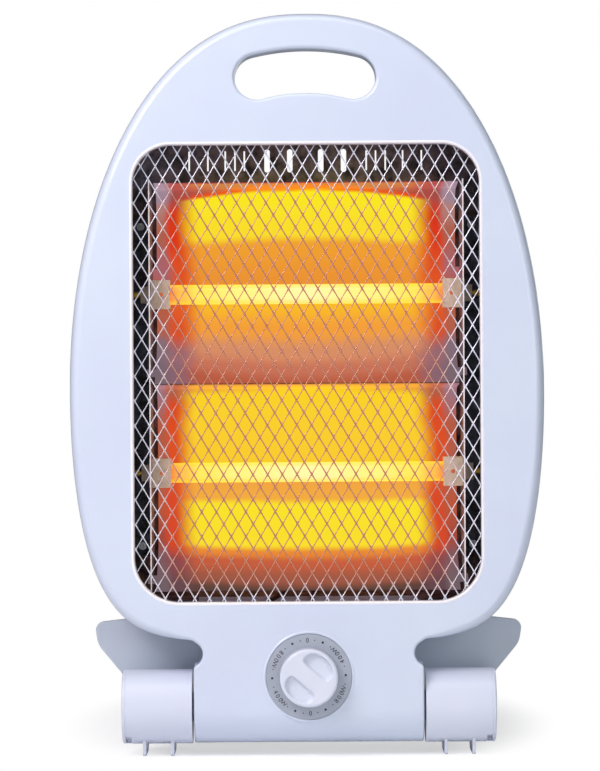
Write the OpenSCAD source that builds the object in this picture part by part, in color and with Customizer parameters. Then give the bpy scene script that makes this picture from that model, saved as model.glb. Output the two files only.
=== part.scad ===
// Portable quartz heater: two glowing tubes in an egg-shaped housing, on two feet that fold at the base.
// X is across the heater, +Y points to the back, +Z is up, and the feet stand on Z = 0.

/* [Housing] */
// Height of the top of the handle above the floor
total_h = 447.2; // [436:0.2:460]
// Width of the housing at its widest
body_w = 285.6; // [278:0.2:300]
// Height of the widest place above the floor
wide_z = 221; // [215:1:227]
// Lowest level of the egg outline, behind the pedestal
egg_low = 70; // [66:1:72]
// Depth of the front housing, from its face to the seam
front_d = 22; // [20:0.5:26]
// Depth of the rear housing, from the seam to the back of the bulge
rear_d = 46; // [45:0.5:52]
// Depth of the flat rim of the rear housing
tray_d = 8; // [7:0.5:9]
// Wall thickness of both housings
wall = 2.4; // [1.8:0.1:2.8]
// Depth of the bevel round the front face
bevel_d = 7; // [4:0.5:9]
// Width of the bevel at the sides
bevel_w = 6; // [3:0.2:8]
// Width of the bevel at the top and bottom
bevel_end = 4.4; // [2:0.2:6]

/* [Handle] */
// Height of the grip bar above the finger slot
grip_h = 21.2; // [17:0.1:23]
// Height of the finger slot at its ends
slot_end_h = 27.2; // [24:0.2:30]
// Width of the finger slot
slot_w = 85; // [80:1:90]
// How far the top of the slot rises above its round ends
slot_rise = 3.5; // [2:0.5:5]
// How far the bottom of the slot rises between its round ends
slot_hump = 3.8; // [2:0.2:5]

/* [Grille] */
// Width of the grille opening
open_w = 208.4; // [204:0.2:210]
// Lower edge of the grille opening above the floor
open_z0 = 93.6; // [92:0.2:95]
// Upper edge of the grille opening above the floor
open_z1 = 368.2; // [366:0.2:370]
// Corner radius at the top of the opening
open_r_top = 23; // [18:1:28]
// Corner radius at the bottom of the opening
open_r_low = 27; // [20:1:32]
// Depth of the rim wall round the opening
rim_d = 8; // [6:0.5:9]
// Thickness of the mesh sheet
mesh_t = 0.8; // [0.6:0.1:1.2]
// Width of one mesh strand
strand_w = 1.1; // [0.8:0.1:1.6]
// Full diamonds across the opening
mesh_nx = 13; // [9:1:13]
// Full diamonds up the opening
mesh_nz = 10; // [7:1:10]
// Thickness of the retainer frame
retainer_t = 1.2; // [0.8:0.1:1.6]

/* [Reflectors and tubes] */
// Half of the distance between the end plates
plate_x = 94.4; // [93:0.2:96]
// Thickness of the end plates
plate_t = 0.8; // [0.6:0.1:1.2]
// Height of the ridge where the two reflectors meet
ridge_z = 224.6; // [222:0.2:227]
// Height of the front edge of the upper reflector's top lip
trough_top = 345.7; // [344:0.2:347]
// Height of the front edge of the lower reflector's bottom lip
trough_low = 99.9; // [99:0.2:101]
// Slope of the top lips, in degrees
lip_top_a = 4; // [2:0.5:6]
// Slope of the bottom lips, in degrees
lip_low_a = 28; // [26:0.5:30]
// Thickness of the reflector sheet
sheet_t = 0.6; // [0.4:0.1:0.8]
// Outside diameter of a quartz tube
tube_d = 12; // [10:0.5:13]
// Wall thickness of a quartz tube
tube_wall = 1.2; // [0.8:0.1:1.4]
// Height of the upper tube
tube_hi_z = 279.2; // [276:0.2:282]
// Height of the lower tube
tube_lo_z = 170.6; // [168:0.2:173]
// Height of a ceramic cap
cap_h = 17.6; // [16:0.2:20]
// Depth of a ceramic cap from front to back
cap_y = 16; // [15:0.5:18]
// Length of a ceramic cap on the inner side of the end plate
cap_l = 11.4; // [10.5:0.2:13]
// Curls in each heating coil
coil_n = 40; // [30:1:44]
// Mean radius of the heating coil
coil_r = 3; // [2:0.1:3.2]
// Radius of the heating wire
coil_wire_r = 0.5; // [0.3:0.1:0.6]

/* [Pedestal and feet] */
// Height of the foot hinges above the floor
axis_z = 29.3; // [28:0.1:33]
// Half of the pedestal width
ped_x = 69.2; // [68:0.2:70]
// Radius of the round base of the pedestal
ped_r = 22; // [21:0.1:22]
// Depth of the neck behind the hinge axis
neck_d = 17.6; // [16:0.2:18]
// Radius of the round notch between the egg and the pedestal
notch_r = 7.6; // [6:0.2:8.5]
// Radius of a foot barrel
foot_r = 22.4; // [22:0.1:23]
// Gap between the pedestal and a foot barrel
foot_gap = 1.2; // [0.8:0.1:3]
// Length of a foot barrel without its cap
foot_l = 40.4; // [36:0.2:42]
// Thickness of a foot cap at its edge
foot_cap_t = 2; // [1.5:0.1:2.5]
// Wall thickness of a foot
foot_wall = 2.5; // [2:0.1:3]
// Height of the foot plate above the hinge
plate_up = 53; // [50:0.5:56]
// How far the outer corner of the plate stands out past the barrel
plate_flare = 18.2; // [14:0.1:20]
// Thickness of a foot rib
rib_t = 2; // [1.6:0.1:3]
// Radius of the hub on which a foot turns
hub_r = 9; // [8:0.5:9.5]

/* [Dial and switch] */
// Radius of the dial plate
dial_r = 25.6; // [24:0.2:26.5]
// Height of the dial centre above the floor
dial_z = 48.6; // [48:0.2:50]
// Radius of the knob
knob_r = 18; // [16:0.5:19]
// How far the knob stands in front of the face
knob_proud = 13; // [12:0.5:16]
// Depth of the finger pockets in the knob
pocket_d = 5; // [4:0.5:7.5]
// Radius of the switch shaft
shaft_r = 3; // [2.5:0.1:3.2]
// Bore radius of the cord gland
cord_r = 3.6; // [3:0.1:4]

/* [Clearances] */
// Radial running clearance of a foot hub in the housing
hub_fit = 0.08; // [0.03:0.01:0.1]
// Radial running clearance of the switch shaft and the pendulum pin
shaft_fit = 0.05; // [0.02:0.01:0.1]
// Clearance round a piece that is fitted once and stays
seat_fit = 0.3; // [0.2:0.05:0.35]
// Clearance between two pieces that face each other
face_gap = 0.3; // [0.2:0.05:0.35]
// Clearance of a screw in its hole
screw_fit = 0.15; // [0.1:0.05:0.2]

/* [Hidden] */

// Colours, as the photograph shows them
housing_white = [0.86, 0.89, 0.95];
foot_white = [0.84, 0.86, 0.93];
dial_grey = [0.66, 0.69, 0.72];
knob_white = [0.93, 0.94, 0.98];
mesh_grey = [0.72, 0.68, 0.76];
steel_grey = [0.62, 0.63, 0.65];
glow_orange = [0.98, 0.62, 0.14];
glow_yellow = [1, 0.86, 0.3];
ceramic_cream = [0.9, 0.82, 0.68];
brass_tone = [0.8, 0.65, 0.3];
black_plastic = [0.16, 0.16, 0.17];

// Planes from front to back; the whole heater is centred on Y = 0
knob_y = -(knob_proud + front_d + rear_d) / 2;
face_y = knob_y + knob_proud;
seam_y = face_y + front_d;
back_y = seam_y + rear_d;
inner_face_y = face_y + wall;
inner_back_y = back_y - wall;
mesh_y = face_y + rim_d;
retainer_y = mesh_y + mesh_t;
frame_back_y = retainer_y + retainer_t;
eps = 0.5; // length by which a cut runs past a face

// Egg outline: (x / half width)^b + (height from the widest place / half height)^a = 1
egg_a_up = 2.03;
egg_b_up = 2.34;
egg_a_low = 2.1;
egg_b_low = 6.6;
egg_n_up = 24;
egg_n_low = 28;

function egg_up(t, side, end) = [
  (body_w / 2 - side) * pow(cos(t), 2 / egg_b_up),
  wide_z + (total_h - wide_z - end) * pow(sin(t), 2 / egg_a_up)
];
function egg_down(t, side, end) = [
  (body_w / 2 - side) * pow(cos(t), 2 / egg_b_low),
  wide_z - (wide_z - egg_low - end) * pow(sin(t), 2 / egg_a_low)
];
// Right half from the top to the bottom; the steps close up towards the flat bottom
function egg_half(side, end) = concat(
  [for (i = [0:egg_n_up - 1]) egg_up(90 - 90 * i / egg_n_up, side, end)],
  [for (i = [0:egg_n_low]) egg_down(90 * (1 - pow(1 - i / egg_n_low, 2)), side, end)]
);
function mirrored(half) = [for (i = [len(half) - 2:-1:1]) [-half[i][0], half[i][1]]];
function egg_outline(side = 0, end = 0) = let (h = egg_half(side, end)) concat(h, mirrored(h));
// Height on the upper half of the egg at a half width
function egg_z(x) = wide_z
  + (total_h - wide_z) * pow(1 - pow(2 * x / body_w, egg_b_up), 1 / egg_a_up);
// Half width of the egg at a height
function egg_x(z) = body_w / 2 * (z > wide_z
  ? pow(1 - pow((z - wide_z) / (total_h - wide_z), egg_a_up), 1 / egg_b_up)
  : pow(1 - pow((wide_z - z) / (wide_z - egg_low), egg_a_low), 1 / egg_b_low));

// Vectors, rounded corners and sheets bent along a path
function unit(v) = v / norm(v);
function turn_short(a) = a > 180 ? a - 360 : a < -180 ? a + 360 : a;
// Points of the arc of radius r that rounds the corner p1 between p0 and p2
function corner_arc(p0, p1, p2, r, n) =
  r <= 0 ? [p1] :
  let (
    u = unit(p0 - p1), v = unit(p2 - p1), half = acos(u * v) / 2,
    c = p1 + unit(u + v) * r / sin(half),
    s = p1 + u * r / tan(half) - c, e = p1 + v * r / tan(half) - c,
    a0 = atan2(s[1], s[0]), da = turn_short(atan2(e[1], e[0]) - a0)
  ) [for (i = [0:n]) c + r * [cos(a0 + da * i / n), sin(a0 + da * i / n)]];
// Each corner is [x, y, radius]
function xy(c) = [c[0], c[1]];
function rounded_loop(cs, n = 8) = [
  for (i = [0:len(cs) - 1])
    each corner_arc(xy(cs[(i + len(cs) - 1) % len(cs)]), xy(cs[i]), xy(cs[(i + 1) % len(cs)]), cs[i][2], n)
];
function rounded_line(cs, n = 8) = concat(
  [xy(cs[0])],
  [for (i = [1:len(cs) - 2]) each corner_arc(xy(cs[i - 1]), xy(cs[i]), xy(cs[i + 1]), cs[i][2], n)],
  [xy(cs[len(cs) - 1])]
);
function path_dir(p, i) = unit(p[min(i + 1, len(p) - 1)] - p[max(i - 1, 0)]);
function path_left(p, i) = let (d = path_dir(p, i)) [-d[1], d[0]];
// Outline of a sheet of thickness t on the left of a path
function sheet_outline(p, t) = concat(
  p, [for (i = [len(p) - 1:-1:0]) p[i] + t * path_left(p, i)]
);

// Solids along Y drawn in the XZ plane, and rods along X and Y
module along_y(y0, y1) translate([0, y1, 0]) rotate([90, 0, 0]) linear_extrude(y1 - y0) children();
module rod_y(x, z, r, y0, y1) translate([x, y1, z]) rotate([90, 0, 0]) cylinder(r = r, h = y1 - y0, $fn = 48);
module rod_x(y, z, r, x0, x1) translate([min(x0, x1), y, z]) rotate([0, 90, 0])
  cylinder(r = r, h = abs(x1 - x0), $fn = 64);
module block(x0, x1, y0, y1, z0, z1)
  translate([min(x0, x1), y0, z0]) cube([abs(x1 - x0), y1 - y0, z1 - z0]);
// A solid along X drawn in the YZ plane
module along_x(x0, x1) translate([min(x0, x1), 0, 0]) rotate([90, 0, 90])
  linear_extrude(abs(x1 - x0)) children();

// A tube swept along 3D points, as one closed surface
function seed(t) = unit(cross(t, abs(t[2]) < 0.8 ? [0, 0, 1] : [1, 0, 0]));
function carried(t) = [
  for (i = 0, n = seed(t[0]); i < len(t); i = i + 1, n = i < len(t) ? unit(n - (n * t[i]) * t[i]) : n) n
];
function sweep_rings(p, r, sides) =
  let (
    t = [for (i = [0:len(p) - 1]) path_dir(p, i)], n = carried(t)
  ) [for (i = [0:len(p) - 1]) for (k = [0:sides - 1])
    p[i] + r * (cos(360 * k / sides) * n[i] + sin(360 * k / sides) * cross(t[i], n[i]))];
module swept(p, r, sides = 8) {
  last = (len(p) - 1) * sides;
  polyhedron(
    points = sweep_rings(p, r, sides),
    faces = concat(
      [for (k = [1:sides - 2]) [0, k, k + 1]],
      [for (i = [0:len(p) - 2]) for (k = [0:sides - 1]) for (f = [0, 1])
        let (a = i * sides + k, b = i * sides + (k + 1) % sides)
          f == 0 ? [a, b + sides, b] : [a, a + sides, b + sides]],
      [for (k = [1:sides - 2]) [last, last + k + 1, last + k]]
    )
  );
}
// Corner cutting: each pass replaces every corner by two points, which rounds a hand-drawn route
function cut_corners(p) = concat(
  [p[0]],
  [for (i = [0:len(p) - 2]) each [0.75 * p[i] + 0.25 * p[i + 1], 0.25 * p[i] + 0.75 * p[i + 1]]],
  [p[len(p) - 1]]
);
wire_r = 1.2;
module wire(route) swept(cut_corners(cut_corners(route)), wire_r);

// Finger slot in the handle: two round ends joined by arcs above and below
slot_r = slot_end_h / 2;
slot_cx = slot_w / 2 - slot_r;
slot_top = total_h - grip_h;
slot_cz = slot_top - slot_rise - slot_r;
slot_arc_top = (slot_cx * slot_cx + pow(slot_rise + slot_r, 2) - slot_r * slot_r) / (2 * slot_rise);
slot_low = slot_cz - slot_r + slot_hump;
slot_arc_low = (slot_cx * slot_cx + pow(slot_cz - slot_low, 2) - slot_r * slot_r)
  / (2 * (slot_r - (slot_cz - slot_low)));
slot_step = 1.2; // how much wider the slot is behind the seam
module finger_slot(grow, y0, y1) {
  top_c = slot_top - slot_arc_top;
  top_x = slot_cx * slot_arc_top / (slot_arc_top - slot_r);
  low_x = slot_cx * slot_arc_low / (slot_arc_low + slot_r);
  for (s = [-1, 1]) rod_y(s * slot_cx, slot_cz, slot_r + grow, y0, y1);
  along_y(y0, y1) difference() {
    intersection() {
      translate([0, top_c]) circle(slot_arc_top + grow, $fn = 128);
      polygon([
        [-low_x, slot_cz - slot_r], [low_x, slot_cz - slot_r], [slot_cx, slot_cz],
        [top_x, slot_top + grow], [-top_x, slot_top + grow], [-slot_cx, slot_cz]
      ]);
    }
    translate([0, slot_low - slot_arc_low]) circle(slot_arc_low - grow, $fn = 128);
  }
}

// Rounded rectangle of the grille opening, grown by a margin
module opening_2d(grow) polygon(rounded_loop([
  [-open_w / 2 - grow, open_z0 - grow, open_r_low + grow],
  [open_w / 2 + grow, open_z0 - grow, open_r_low + grow],
  [open_w / 2 + grow, open_z1 + grow, open_r_top + grow],
  [-open_w / 2 - grow, open_z1 + grow, open_r_top + grow]
]));

// Screws that close the housing: [x, z] for the right side
case_edge = 13.5; // distance of the side screws from the edge of the housing
case_hi_z = open_z1 - 68.2;
case_lo_z = open_z0 + 46.4;
case_spots = [
  [slot_w / 2 + 15.5, slot_cz + 5],
  [egg_x(case_hi_z) - case_edge, case_hi_z],
  [egg_x(case_lo_z) - case_edge, case_lo_z],
  [88, open_z0 - 8.6],
  [45, axis_z - 12]
];
// Screws of the grille retainer, outside the mesh
retainer_edge = 8;
retainer_room = 15.1; // from the upper side screws to the edge of the housing
retainer_spots = [
  [open_w / 2 + retainer_edge, open_z0 + 40],
  [open_w / 2 + retainer_edge, egg_z(open_w / 2 + retainer_edge + retainer_room)],
  [50, open_z1 + retainer_edge],
  [50, open_z0 - retainer_edge]
];
module both_sides(spots) for (p = spots) for (s = [-1, 1]) translate([s * p[0], 0, p[1]]) children();
case_screw_r = 1.5;
case_head_r = 2.9;
case_head_h = 2.2;
case_seat = 3.2; // thickness of the rear post under a screw head
case_bite = 10; // length of the thread in the front boss
boss_r = 4;
post_r = 5;
small_screw_r = 1.25;
small_head_r = 2.4;
small_head_h = 1.6;

// Outer and inner forms of the two housings
module egg_slab(side, end, y0, y1) along_y(y0, y1) polygon(egg_outline(side, end));
skin = 0.01; // thickness of the slabs that a hull joins
module egg_front(inset) hull() {
  egg_slab(bevel_w + inset, bevel_end + inset, face_y + inset, face_y + inset + skin);
  egg_slab(inset, inset, face_y + max(bevel_d, inset), seam_y);
}
tray_bevel = 5;
module egg_rear(inset) hull() {
  egg_slab(inset, inset, seam_y, seam_y + tray_d / 3);
  egg_slab(tray_bevel + inset, 3 + inset, seam_y + tray_d - inset - skin, seam_y + tray_d - inset);
}
// Bulge over the reflectors: wide at the rim and narrower at the back
bulge_x = open_w / 2 + 11.5;
bulge_draft = 6;
bulge_r = 20; // corners at the bottom
bulge_r_top = 30; // corners at the top, inside the shoulders of the egg
bulge_rise = 14; // height of the bulge's top above the grille opening
module bulge_slab(shrink, y0, y1) along_y(y0, y1) polygon(rounded_loop([
  [-bulge_x + shrink, open_z0 - 3 + shrink, bulge_r], [bulge_x - shrink, open_z0 - 3 + shrink, bulge_r],
  [bulge_x - shrink, open_z1 + bulge_rise - shrink, bulge_r_top],
  [-bulge_x + shrink, open_z1 + bulge_rise - shrink, bulge_r_top]
]));
module bulge(inset) hull() {
  bulge_slab(inset, seam_y, seam_y + tray_d - wall + skin);
  bulge_slab(bulge_draft + inset, back_y - inset - skin, back_y - inset);
}
neck_top = open_z0 + 4;
module pedestal(inset, y0, y1, top) intersection() {
  union() {
    rod_x(seam_y, axis_z, ped_r - inset, -ped_x + inset, ped_x - inset);
    block(-ped_x + inset, ped_x - inset, face_y + inset, seam_y + neck_d - inset, axis_z, top);
  }
  block(-ped_x, ped_x, y0, y1, 0, total_h);
}
notch_x = ped_x + 2;
notch_z = axis_z + ped_r + 11;
module notches(grow, y0, y1)
  for (s = [-1, 1]) rod_y(s * notch_x, notch_z, notch_r + grow, y0, y1);

// Stops for the folding feet: a lug on each retainer runs between two ribs
retainer_disc_t = 2;
hub_end_x = ped_x - wall - face_gap - 3.6;
lug_mid = 135; // angle of the lug from +Z towards +Y with the foot folded up
lug_half = 9;
stop_play = 1.6; // degrees left between the lug and a stop
stop_t = 3;
swing = 90;
module stop_rib(angle, side, s) translate([0, seam_y, axis_z]) rotate([-angle, 0, 0])
  block(s * (hub_end_x + 1), s * (hub_end_x - retainer_disc_t - 1),
    side < 0 ? -stop_t : 0, side < 0 ? 0 : stop_t, hub_r + 6.5, ped_r - wall / 2);

// Mountings for the electrical pieces
switch_w = 28;
switch_h = 26;
pad_d = 4; // thickness of the wall behind the dial
switch_front_y = face_y + pad_d;
switch_d = 15;
switch_cover_t = 2;
switch_screw_x = 10;
bush_r = 4.6;
dial_recess = 1;
dial_t = 1.2;
tip_x = -36; // centre of the tip switch
tip_w = 20;
tip_d = 18;
tip_h = 28;
tip_z = 45.5;
tip_y = inner_face_y + 8; // front of its case
tip_wall = 1.5;
tip_ear = 4;
tip_screw_zs = [tip_z - tip_ear, tip_z + tip_h + tip_ear];
block_x = 36; // centre of the terminal block
block_w = 30;
block_h = 13;
block_d = 12;
block_z = 60;
gland_x = 36;
end_flange = 12.5;
end_spots_z = [125, 322];
end_spot_x = plate_x + 7.6;
plate_back_y = inner_back_y - 7;

module front_housing() color(housing_white) difference() {
  union() {
    difference() {
      union() {
        egg_front(0);
        pedestal(0, face_y, seam_y, notch_z + 14);
      }
      difference() {
        union() {
          egg_front(wall);
          pedestal(wall, face_y, seam_y + eps, notch_z + 16);
          egg_slab(wall, wall, seam_y - eps, seam_y + eps);
        }
        notches(wall, face_y, seam_y);
        finger_slot(wall, face_y, seam_y);
        along_y(face_y, mesh_y) opening_2d(wall);
        rod_y(0, dial_z, dial_r + 1.4, face_y, switch_front_y);
        both_sides(case_spots) rod_y(0, 0, boss_r, face_y, seam_y);
        both_sides(retainer_spots) rod_y(0, 0, 3.4, face_y, retainer_y);
        for (z = tip_screw_zs) rod_y(tip_x, z, 3, face_y, tip_y);
        for (s = [-1, 1]) stop_rib(lug_mid + swing + lug_half + stop_play, 1, s);
      }
    }
    rod_y(0, dial_z, dial_r + 1.4, face_y, switch_front_y);
  }
  finger_slot(0, face_y - eps, seam_y + eps);
  along_y(face_y - eps, mesh_y + eps) opening_2d(0);
  notches(0, face_y - eps, seam_y + eps);
  rod_y(0, dial_z, dial_r + 0.2, face_y - eps, face_y + dial_recess);
  rod_y(0, dial_z, bush_r + screw_fit, face_y, switch_front_y + eps);
  for (s = [-1, 1]) {
    rod_y(s * switch_screw_x, dial_z, small_screw_r + screw_fit, face_y, switch_front_y + eps);
    rod_y(s * switch_screw_x, dial_z, small_head_r + screw_fit, face_y, face_y + dial_recess + small_head_h);
    rod_x(seam_y, axis_z, hub_r + hub_fit, s * (ped_x - wall - eps), s * (ped_x + eps));
  }
  both_sides(case_spots) rod_y(0, 0, case_screw_r + screw_fit, seam_y - case_bite - 1, seam_y + eps);
  both_sides(retainer_spots) rod_y(0, 0, small_screw_r + screw_fit, retainer_y - 6, retainer_y + eps);
  for (z = tip_screw_zs) rod_y(tip_x, z, small_screw_r + screw_fit, tip_y - 7, tip_y + eps);
}

// Two rows of vertical vents across the back: wide slots in the middle, narrow slits outside them
vent_w = 3.4;
slit_w = 1;
vent_h = 14.4;
vent_xs = [9.6, 23.7];
slit_xs = [37.8, 43.6, 49.6, 60.4, 72];
vent_rows = [open_z0 + 14, open_z1 - 12.6];
module vents() for (z = vent_rows) for (s = [-1, 1]) {
  for (x = vent_xs) translate([s * x, 0, z]) {
    block(-vent_w / 2, vent_w / 2, inner_back_y - eps, back_y + eps, vent_w / 2, vent_h - vent_w / 2);
    for (end_z = [vent_w / 2, vent_h - vent_w / 2])
      rod_y(0, end_z, vent_w / 2, inner_back_y - eps, back_y + eps);
  }
  for (x = slit_xs) translate([s * x, 0, z])
    block(-slit_w / 2, slit_w / 2, inner_back_y - eps, back_y + eps, 1, vent_h - 1);
}

module rear_housing() color(housing_white) difference() {
  union() {
    difference() {
      union() {
        egg_rear(0);
        bulge(0);
        pedestal(0, seam_y, back_y, neck_top);
      }
      difference() {
        union() {
          egg_rear(wall);
          bulge(wall);
          pedestal(wall, seam_y, back_y, neck_top + wall);
          egg_slab(wall, wall, seam_y - eps, seam_y + eps);
        }
        notches(wall, seam_y, back_y);
        finger_slot(slot_step + wall, seam_y, back_y);
        both_sides(case_spots) rod_y(0, 0, post_r, seam_y, back_y);
        for (s = [-1, 1]) {
          for (z = end_spots_z) rod_y(s * end_spot_x, z, 3.6, plate_back_y, back_y);
          stop_rib(lug_mid - lug_half - stop_play, -1, s);
        }
        for (s = [-1, 1]) rod_y(block_x + s * (block_w / 2 - 3), block_z + block_h / 2, 2.6,
          block_back_y, back_y);
      }
    }
  }
  finger_slot(slot_step, seam_y - eps, back_y);
  notches(0, seam_y - eps, back_y);
  vents();
  both_sides(case_spots) {
    rod_y(0, 0, case_screw_r + screw_fit, seam_y - eps, back_y);
    rod_y(0, 0, case_head_r + screw_fit, seam_y + case_seat, back_y + eps);
  }
  for (s = [-1, 1]) {
    rod_x(seam_y, axis_z, hub_r + hub_fit, s * (ped_x - wall - eps), s * (ped_x + eps));
    for (z = end_spots_z)
      rod_y(s * end_spot_x, z, small_screw_r + screw_fit, plate_back_y - eps, plate_back_y + 7);
    rod_y(block_x + s * (block_w / 2 - 3), block_z + block_h / 2, small_screw_r + screw_fit,
      block_back_y - eps, seam_y + neck_d - 0.7);
  }
  rod_y(gland_x, axis_z, gland_r + seat_fit, seam_y, back_y);
}

// A screw along Y with its head at the back (way = 1) or at the front (way = -1)
module screw_y(r, head_r, head_h, length, way) {
  rod_y(0, 0, r, way > 0 ? -length : 0, way > 0 ? 0 : length);
  difference() {
    rod_y(0, 0, head_r, way > 0 ? 0 : -head_h, way > 0 ? head_h : 0);
    for (a = [0, 90]) translate([0, way * head_h, 0]) rotate([0, a, 0])
      cube([head_r * 1.2, 1.4, 0.7], center = true);
  }
}
module case_screws() color(steel_grey) both_sides(case_spots) translate([0, seam_y + case_seat, 0])
  screw_y(case_screw_r, case_head_r, case_head_h, case_seat + case_bite, 1);

// Expanded mesh: diamonds punched in a sheet, with a plain border that the retainer clamps
module grille_mesh() color(mesh_grey) along_y(mesh_y, mesh_y + mesh_t) difference() {
  opening_2d(3.4);
  intersection() {
    opening_2d(0);
    mesh_holes();
  }
}
module mesh_holes() {
  w = open_w / mesh_nx;
  h = (open_z1 - open_z0) / mesh_nz;
  // Half diagonals of a hole, drawn in from the lattice by half a strand on each side
  draw_in = strand_w / 2 * sqrt(w * w + h * h);
  hx = w / 2 - draw_in / h;
  hz = h / 2 - draw_in / w;
  for (i = [0:mesh_nx * 2]) for (k = [0:mesh_nz * 2])
    if ((i + k) % 2 == 1) translate([-open_w / 2 + i * w / 2, open_z0 + k * h / 2])
      polygon([[-hx, 0], [0, -hz], [hx, 0], [0, hz]]);
}
module grille_retainer() color(steel_grey) difference() {
  along_y(retainer_y, frame_back_y) difference() {
    intersection() {
      opening_2d(12);
      polygon(egg_outline(wall + face_gap, wall + face_gap));
    }
    opening_2d(0.6);
  }
  both_sides(retainer_spots) rod_y(0, 0, small_screw_r + screw_fit, retainer_y - eps, frame_back_y + eps);
  both_sides(case_spots) rod_y(0, 0, boss_r + face_gap, retainer_y - eps, frame_back_y + eps);
}
module retainer_screws() color(steel_grey) both_sides(retainer_spots) translate([0, frame_back_y, 0])
  screw_y(small_screw_r, small_head_r, small_head_h, 5, 1);

// Reflector troughs, a path in the YZ plane from the front of the top lip to the front of the bottom lip
trough_front_y = frame_back_y + 3;
trough_back_y = plate_back_y - 3.4;
trough_depth = trough_back_y - trough_front_y;
ridge_gap = 0.2;
trough_end = plate_x - 2.4;
function trough_path(top, low) = rounded_line([
  [trough_front_y, top, 0],
  [trough_back_y, top - trough_depth * tan(lip_top_a), 16],
  [trough_back_y, low + trough_depth * tan(lip_low_a), 24],
  [trough_front_y, low, 0]
], 10);
upper_low = ridge_z + ridge_gap + sheet_t;
lower_top = ridge_z - ridge_gap - sheet_t;
// Tabs at the ends of a trough, which pass through slots in the end plates
tab_l = 5.2;
tab_h = 9;
module trough_tabs(top, low, grow, s) {
  mid = (top + low) / 2 + 6;
  x0 = s * (trough_end - 1);
  x1 = s * (trough_end + tab_l);
  block(x0, x1, trough_back_y - grow, trough_back_y + sheet_t + grow,
    mid - tab_h / 2 - grow, mid + tab_h / 2 + grow);
  translate([0, trough_front_y, low]) rotate([lip_low_a, 0, 0])
    block(x0, x1, 9 - grow, 9 + tab_h + grow, -sheet_t - grow, grow);
}
module reflector(top, low) {
  along_x(-trough_end, trough_end) polygon(sheet_outline(trough_path(top, low), sheet_t));
  for (s = [-1, 1]) trough_tabs(top, low, 0, s);
}
module reflector_upper() color(glow_orange) reflector(trough_top, upper_low);
module reflector_lower() color(glow_orange) difference() {
  reflector(lower_top, trough_low);
  for (s = [-1, 1])
    rod_y(s * cutout_ear, cutout_z, rivet_r + screw_fit, trough_back_y - eps, trough_back_y + 2);
}

// End plates with windows for the tube caps and slots for the reflector tabs
spigot_z = 10;
spigot_y = 9;
tube_y = trough_front_y + 20.5;
module end_plate(s) color(steel_grey) difference() {
  union() {
    along_x(s * plate_x, s * (plate_x + plate_t)) polygon([
      [trough_front_y - 1, trough_low - 2], [trough_front_y + 18, trough_low - 2],
      [plate_back_y, trough_low + 11], [plate_back_y, trough_top + 2], [trough_front_y - 1, trough_top + 2]
    ]);
    block(s * plate_x, s * (plate_x + end_flange), plate_back_y - plate_t, plate_back_y,
      end_spots_z[0] - 6, end_spots_z[1] + 6);
  }
  for (z = [tube_hi_z, tube_lo_z]) block(s * (plate_x - eps), s * (plate_x + plate_t + eps),
    tube_y - spigot_y / 2 - seat_fit, tube_y + spigot_y / 2 + seat_fit,
    z - spigot_z / 2 - seat_fit, z + spigot_z / 2 + seat_fit);
  trough_tabs(trough_top, upper_low, seat_fit, s);
  trough_tabs(lower_top, trough_low, seat_fit, s);
  for (z = end_spots_z)
    rod_y(s * end_spot_x, z, small_screw_r + screw_fit, plate_back_y - plate_t - eps, plate_back_y + eps);
}
module end_plate_left() end_plate(-1);
module end_plate_right() end_plate(1);
module end_plate_screws() color(steel_grey) for (s = [-1, 1]) for (z = end_spots_z)
  translate([s * end_spot_x, plate_back_y - plate_t, z])
    screw_y(small_screw_r, small_head_r, small_head_h, plate_t + 5.5, -1);

// Quartz tubes with a coil inside, ceramic caps, clips and terminal pins
cap_in = 7; // length of the tube inside a cap
tube_end = plate_x - cap_l + cap_in;
module quartz_tube(z) color(glow_yellow) difference() {
  rod_x(tube_y, z, tube_d / 2, -tube_end, tube_end);
  rod_x(tube_y, z, tube_d / 2 - tube_wall, -tube_end - eps, tube_end + eps);
}
module quartz_tube_upper() quartz_tube(tube_hi_z);
module quartz_tube_lower() quartz_tube(tube_lo_z);

coil_rings = 8; // rings in one curl
coil_span = plate_x - cap_l - 1; // half length of the wound stretch
lead_l = 3; // length over which the wire comes in to the axis
function coil_point(i, n) = let (
  x = -coil_span + 2 * coil_span * i / n,
  near = min(1, (coil_span - abs(x)) / lead_l),
  r = coil_r * near * near * (3 - 2 * near),
  a = 360 * i / coil_rings
) [x, r * cos(a), r * sin(a)];
function coil_path() = let (n = coil_n * coil_rings) concat(
  [[-tube_end, 0, 0], [-tube_end + 2 * coil_wire_r, 0, 0]],
  [for (i = [0:n]) coil_point(i, n)],
  [[tube_end - 2 * coil_wire_r, 0, 0], [tube_end, 0, 0]]
);
// Least gap between one curl and the next, over all points that lie half a curl or more apart
function coil_gap(p) = min([
  for (i = [0:len(p) - 1]) for (k = [i + coil_rings / 2:min(i + 2 * coil_rings, len(p) - 1)])
    norm(p[i] - p[k])
]) - 2 * coil_wire_r;
echo(least_coil_gap_mm = coil_gap(coil_path()));
module heating_coil(z) color(glow_yellow) translate([0, tube_y, z]) swept(coil_path(), coil_wire_r, 6);
module heating_coil_upper() heating_coil(tube_hi_z);
module heating_coil_lower() heating_coil(tube_lo_z);

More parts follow.
